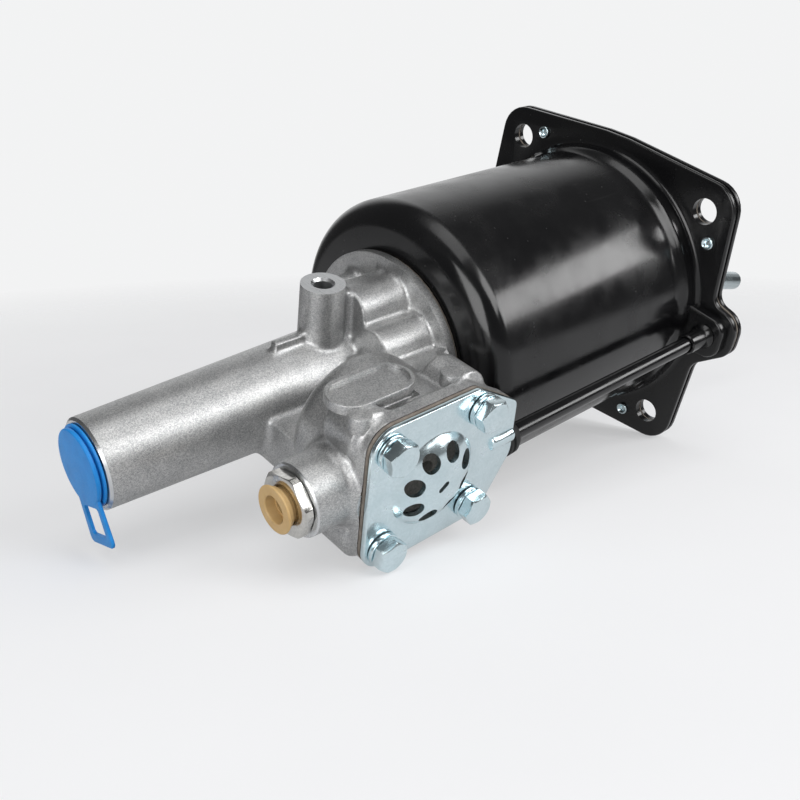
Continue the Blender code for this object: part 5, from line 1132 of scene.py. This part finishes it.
@dataclass
class BreatherPipe(SubAssembly):
    """Black pipe from the valve block to the ear, with sleeve and grommet."""

    start: float = -140.4
    end: float = -7.1
    bore: float = 2.1
    radius: float = 3.0
    sleeve: Pair = (-22.6, -10.6)
    grommet: float = VALVE_X + 36.9
    grommet_length: float = 7.0

    def thread_on(self, name: str, slot: str, node: str, profile: Profile) -> None:
        """Turn one piece round the pipe's axis and hand it over."""
        self.deliver(self.bench.turned(name, profile, PIPE, segments=64), name, slot, node)

    def build(self) -> None:
        """Build pipe, sleeve and grommet."""
        self.thread_on("breather_pipe", "black_enamel", "air_pipe", [
            (self.start, self.bore), (self.start, self.radius), (self.end, self.radius), (self.end, self.bore),
        ])
        low, high = self.sleeve
        self.thread_on("flared_sleeve", "black_enamel", "pipe_sleeve", [
            (low, PIPE_HOLE), (low, 3.7), (low + 0.5, 4.1), (high - 3.0, 4.1), (high - 1.8, 4.35),
            (high - 0.8, 4.9), (high - 0.2, 5.3), (high, 5.3), (high, PIPE_HOLE),
        ])
        low, high = self.grommet, self.grommet + self.grommet_length
        self.thread_on("ribbed_grommet", "black_rubber", "pipe_grommet", [
            (low, PIPE_HOLE), (low, 5.6), (low + 0.5, 6.2), (low + 1.6, 6.2), (low + 1.9, 5.5), (low + 2.6, 5.5),
            (low + 2.9, 6.1), (low + 4.4, 6.0), (high - 0.4, 4.6), (high, 4.2), (high, PIPE_HOLE),
        ])


@dataclass
class DustCap(SubAssembly):
    """Blue cap in the nose port with its pull loop."""

    disc_radius: float = 12.6
    disc_edge: float = 0.6
    seal_radius: float = 13.4
    thickness: float = 2.7
    reach: float = 25.5
    half_width: float = 8.5
    bar: float = 3.2
    droop: float = math.radians(27.0)

    def build(self) -> None:
        """Build plug, seal disc, face disc and loop in one piece."""
        bench, back, disc, seal = self.bench, NOSE - 0.3, self.disc_radius, self.seal_radius
        front, edge = back - self.thickness, self.disc_edge
        profile = [(front, 0.0)] + arc(front + edge, disc - edge, edge, 180, 90, 5)
        profile += [(back - 1.5, disc), (back - 1.3, 11.4), (back - 0.7, 11.4)]
        profile += [(back - 0.7, seal - 0.2), (back - 0.5, seal), (back, seal)]
        profile += [(back, 4.9), (back + 7.0, 4.9), (back + 8.0, 3.9), (back + 8.0, 0.0)]
        cap = bench.turned("cap", profile)
        self.coat(Finish.BLUE, cap)
        half, inner, tip = self.half_width, self.half_width - self.bar, self.bar - self.reach
        turn = (ALONG_X[0], self.droop, ALONG_X[2])
        strap = bench.plate("strap", rounded([
            (-half + 1.0, -7.4, 1.0), (half - 1.0, -7.4, 1.0), (half, -self.reach, 2.2), (-half, -self.reach, 2.2),
        ]), front + 0.2, back - 1.4, turn=turn)
        gap = rounded([(-inner, -disc, 1.2), (inner, -disc, 1.2), (inner, tip, 1.2), (-inner, tip, 1.2)])
        bench.fuse(cap, bench.bevel(strap, 0.35, 3, 60.0))
        bench.cut(cap, bench.plate("gap", gap, front - 2, back - 0.75, turn=turn))
        self.deliver(cap, "pull_tab_cap", "blue_plastic", "dust_cap", shade=38.0)


@dataclass
class InnerWorks(SubAssembly):
    """The works inside: copies of the CAD nodes with their facets shaded smooth."""

    nodes: tuple[tuple[str, str, float], ...] = (
        ("push_rod", "rod_body", 40.0),
        ("rod_seat", "seat_body", 30.0),
        ("rod_retaining_ring", "piston_body", 30.0),
        ("air_piston", "piston_body", 30.0),
        ("piston_seal", "piston_body", 30.0),
        ("hydraulic_plunger", "piston_body", 30.0),
        ("relay_piston", "relay_body", 30.0),
        ("inlet_valve", "valve_body", 30.0),
        ("silencer_disc", "servo_body", 30.0),
        ("valve_guide_ring", "servo_body", 30.0),
    )
    # Node, the joint that presses it, its fixed end and the joint's travel towards that end.
    springs: tuple[tuple[str, str, Point, Point], ...] = (
        ("piston_spring", "piston_slide", (-121.2, 0.0, 0.0), (-60.0, 0.0, 0.0)),
        ("relay_spring", "relay_travel", (0.0, -45.9, 0.0), (0.0, -2.0, 0.0)),
        ("valve_spring", "valve_lift", (0.0, -58.9, 0.0), (0.0, -1.8, 0.0)),
    )

    def smooth_copy(self, node: str, body: str, angle: float) -> Piece:
        """Copy a CAD node, merge its loose triangles and shade it smooth.

        Args:
            node: The CAD node.
            body: The body that it rides on.
            angle: Sharpest angle that is still shaded smooth, in degrees.

        Returns:
            The copy, which stands for the node.
        """
        slot = next(entry["material_slot"] for entry in frame["record"]["subparts"] if entry["node"] == node)
        obj = bpy.data.objects.new(f"smooth_{node}", frame["nodes"][node].data.copy())
        bpy.context.scene.collection.objects.link(obj)
        self.bench.take(obj)
        bpy.ops.object.mode_set(mode="EDIT")
        bpy.ops.mesh.select_all(action="SELECT")
        bpy.ops.mesh.remove_doubles(threshold=1e-6)
        bpy.ops.object.mode_set(mode="OBJECT")
        self.coat(SLOT_FINISH[slot], obj)
        return self.deliver(obj, f"smooth_{node}", slot, node, body=body, shade=angle)

    def build(self) -> None:
        """Build every smooth copy, and give each spring's copy a mesh of its own."""
        for node, body, angle in self.nodes:
            self.smooth_copy(node, body, angle)
        for node, joint, fixed, travel in self.springs:
            obj = self.smooth_copy(node, "servo_body", 60.0)
            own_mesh(obj)


@dataclass
class Studio:
    """Camera, floor, lamps and world, as in the photograph."""

    camera_place: Point = (-336.5 * MM, -217.4 * MM, 184.9 * MM)
    right: Point = (0.7411, -0.6648, 0.0939)
    down: Point = (-0.3208, -0.4734, -0.8203)
    look: Point = (0.5898, 0.5778, -0.5641)
    lens: float = 42.39
    sensor: float = 36.0
    near_clip: float = 0.01
    floor_up: Point = (0.174, 0.326, 0.929)
    floor_touch: Point = (-5.7 * MM, -52 * MM, -60 * MM)
    floor_half: float = 3.0
    floor_tones: tuple[Colour, Colour] = ((0.44, 0.44, 0.45), (0.47, 0.47, 0.48))
    floor_lift: float = 0.44
    floor_gloss: float = 0.26
    floor_fade: Pair = (0.35, 0.75)
    daylight: tuple[float, ...] = (0.99, 0.995, 1.0, 1.0)
    backdrop: Point = (0.68, 0.73, -0.05)
    backdrop_edge: Pair = (0.72, 0.92)
    pale: float = 0.90
    room_gloss: float = 0.11
    room_light: float = 0.30
    # Name, place, aim, width and height in metres, and watts of each softbox.
    lamps: tuple[tuple[str, Point, Point, Pair, float], ...] = (
        ("window", (0.83, -0.70, 0.62), (-0.06, 0.0, 0.0), (0.75, 0.36), 5.2),
        ("nose_lamp", (0.25, -0.75, 0.95), (-0.18, -0.03, 0.0), (0.6, 0.6), 5.2),
        ("overhead", (-0.10, 0.15, 1.6), (-0.10, 0.0, 0.0), (1.4, 1.0), 8.0),
        ("front_fill", (-1.10, -0.45, 0.55), (-0.15, 0.0, 0.0), (0.8, 0.8), 8.0),
    )

    def build(self) -> None:
        """Set the whole stage."""
        self.set_camera()
        self.lay_floor()
        for lamp in self.lamps:
            self.hang_softbox(*lamp)
        self.light_world()
        bpy.context.scene.view_settings.view_transform = "Standard"
        log.info("stage set")

    @staticmethod
    def stand(data: bpy.types.ID, place: Point, turn: Matrix) -> Piece:
        """Put a camera, lamp or mesh on the stage under its own name."""
        obj = bpy.data.objects.new(data.name, data)
        obj.matrix_world = Matrix.Translation(place) @ turn.to_4x4()
        bpy.context.scene.collection.objects.link(obj)
        return obj

    def set_camera(self) -> None:
        """Put the camera where the photograph was taken."""
        data = bpy.data.cameras.new("photo_camera")
        data.lens, data.sensor_width, data.clip_start = self.lens, self.sensor, self.near_clip
        columns = (Vector(self.right), -Vector(self.down), -Vector(self.look))
        bpy.context.scene.camera = self.stand(data, self.camera_place, Matrix(columns).transposed())

    def lay_floor(self) -> None:
        """Lay a pale floor that the servo rests on, seen from above only."""
        mesh, half = bpy.data.meshes.new("studio_floor"), self.floor_half
        mesh.from_pydata([(-half, -half, 0), (half, -half, 0), (half, half, 0), (-half, half, 0)], [], [range(4)])
        mesh.materials.append(self.floor_material())
        turn = Vector(self.floor_up).to_track_quat("Z", "Y").to_matrix()
        self.stand(mesh, self.floor_touch, turn)

    def floor_material(self) -> bpy.types.Material:
        """Return the floor's finish: pale near the servo, clear far away and from below."""
        graph = Graph(bpy.data.materials.new("floor_white"))
        tone = graph.blend(graph.span(graph.noise(0.12, 2.0), 0.2, 0.8), *self.floor_tones)
        graph.set(Base_Color=tone, Roughness=0.9, Specular_IOR_Level=0.1)
        path = graph.add("ShaderNodeLightPath").outputs
        glossy = graph.mix(path["Is Glossy Ray"], path["Is Transmission Ray"])
        glossy = graph.mix(glossy, self.floor_gloss, "MULTIPLY")
        camera = graph.mix(path["Is Camera Ray"], self.floor_lift, "MULTIPLY")
        lift = graph.add("ShaderNodeEmission", self.daylight, graph.mix(glossy, camera)).outputs[0]
        near = graph.add("ShaderNodeAddShader", graph.shader.outputs[0], lift).outputs[0]
        away = graph.add("ShaderNodeVectorMath", graph.place, operation="LENGTH").outputs["Value"]
        back = graph.add("ShaderNodeNewGeometry").outputs["Backfacing"]
        clear = graph.mix(graph.span(away, *self.floor_fade), back, "MAXIMUM")
        air = graph.add("ShaderNodeBsdfTransparent").outputs[0]
        side = graph.add("ShaderNodeMixShader", clear, near, air).outputs[0]
        graph.feed(graph.tree.nodes["Material Output"].inputs["Surface"], side)
        return graph.owner

    def hang_softbox(self, name: str, place: Point, aim: Point, size: Pair, power: float) -> None:
        """Hang one area lamp.

        Args:
            name: The lamp's name.
            place: Where it hangs.
            aim: The point it faces.
            size: Its width and height.
            power: Its power in watts.
        """
        data = bpy.data.lights.new(name, "AREA")
        data.shape = "RECTANGLE"
        data.size, data.size_y = size
        data.energy = power
        self.stand(data, place, (Vector(place) - Vector(aim)).to_track_quat("Z", "Y").to_matrix())

    def light_world(self) -> None:
        """Set the world: pale to the camera, a backdrop in a dim room to glossy rays, plain to the rest."""
        graph = Graph(bpy.data.worlds.new("studio_world"))
        path = graph.add("ShaderNodeLightPath").outputs
        ray = graph.coordinates["Generated"]
        toward = graph.add("ShaderNodeVectorMath", ray, self.backdrop, operation="DOT_PRODUCT")
        room = graph.span(toward.outputs["Value"], *self.backdrop_edge, self.room_gloss, self.pale)
        mirror = graph.mix(path["Is Glossy Ray"], path["Is Transmission Ray"], "MAXIMUM")
        glossy = graph.mix(mirror, room, "MULTIPLY")
        camera = graph.mix(path["Is Camera Ray"], self.pale, "MULTIPLY")
        other = graph.mix(path["Is Diffuse Ray"], self.room_light, "MULTIPLY")
        strength = graph.mix(graph.mix(glossy, camera, "MAXIMUM"), other, "MAXIMUM")
        graph.set(Color=self.daylight, Strength=strength)
        bpy.context.scene.world = graph.owner


def main() -> None:
    """Dress the servo and set the stage."""
    logging.basicConfig(level=logging.INFO, format="%(message)s")
    shop, bench = Workshop(), Bench()
    shop.dress_all()
    for kind in (CylinderPot, CastHousing, ExhaustCover, AirInlet, BreatherPipe, DustCap, InnerWorks):
        log.info("building %s", kind.__name__)
        kind(bench, shop).build()
    Studio().build()


if __name__ == "__main__":
    main()
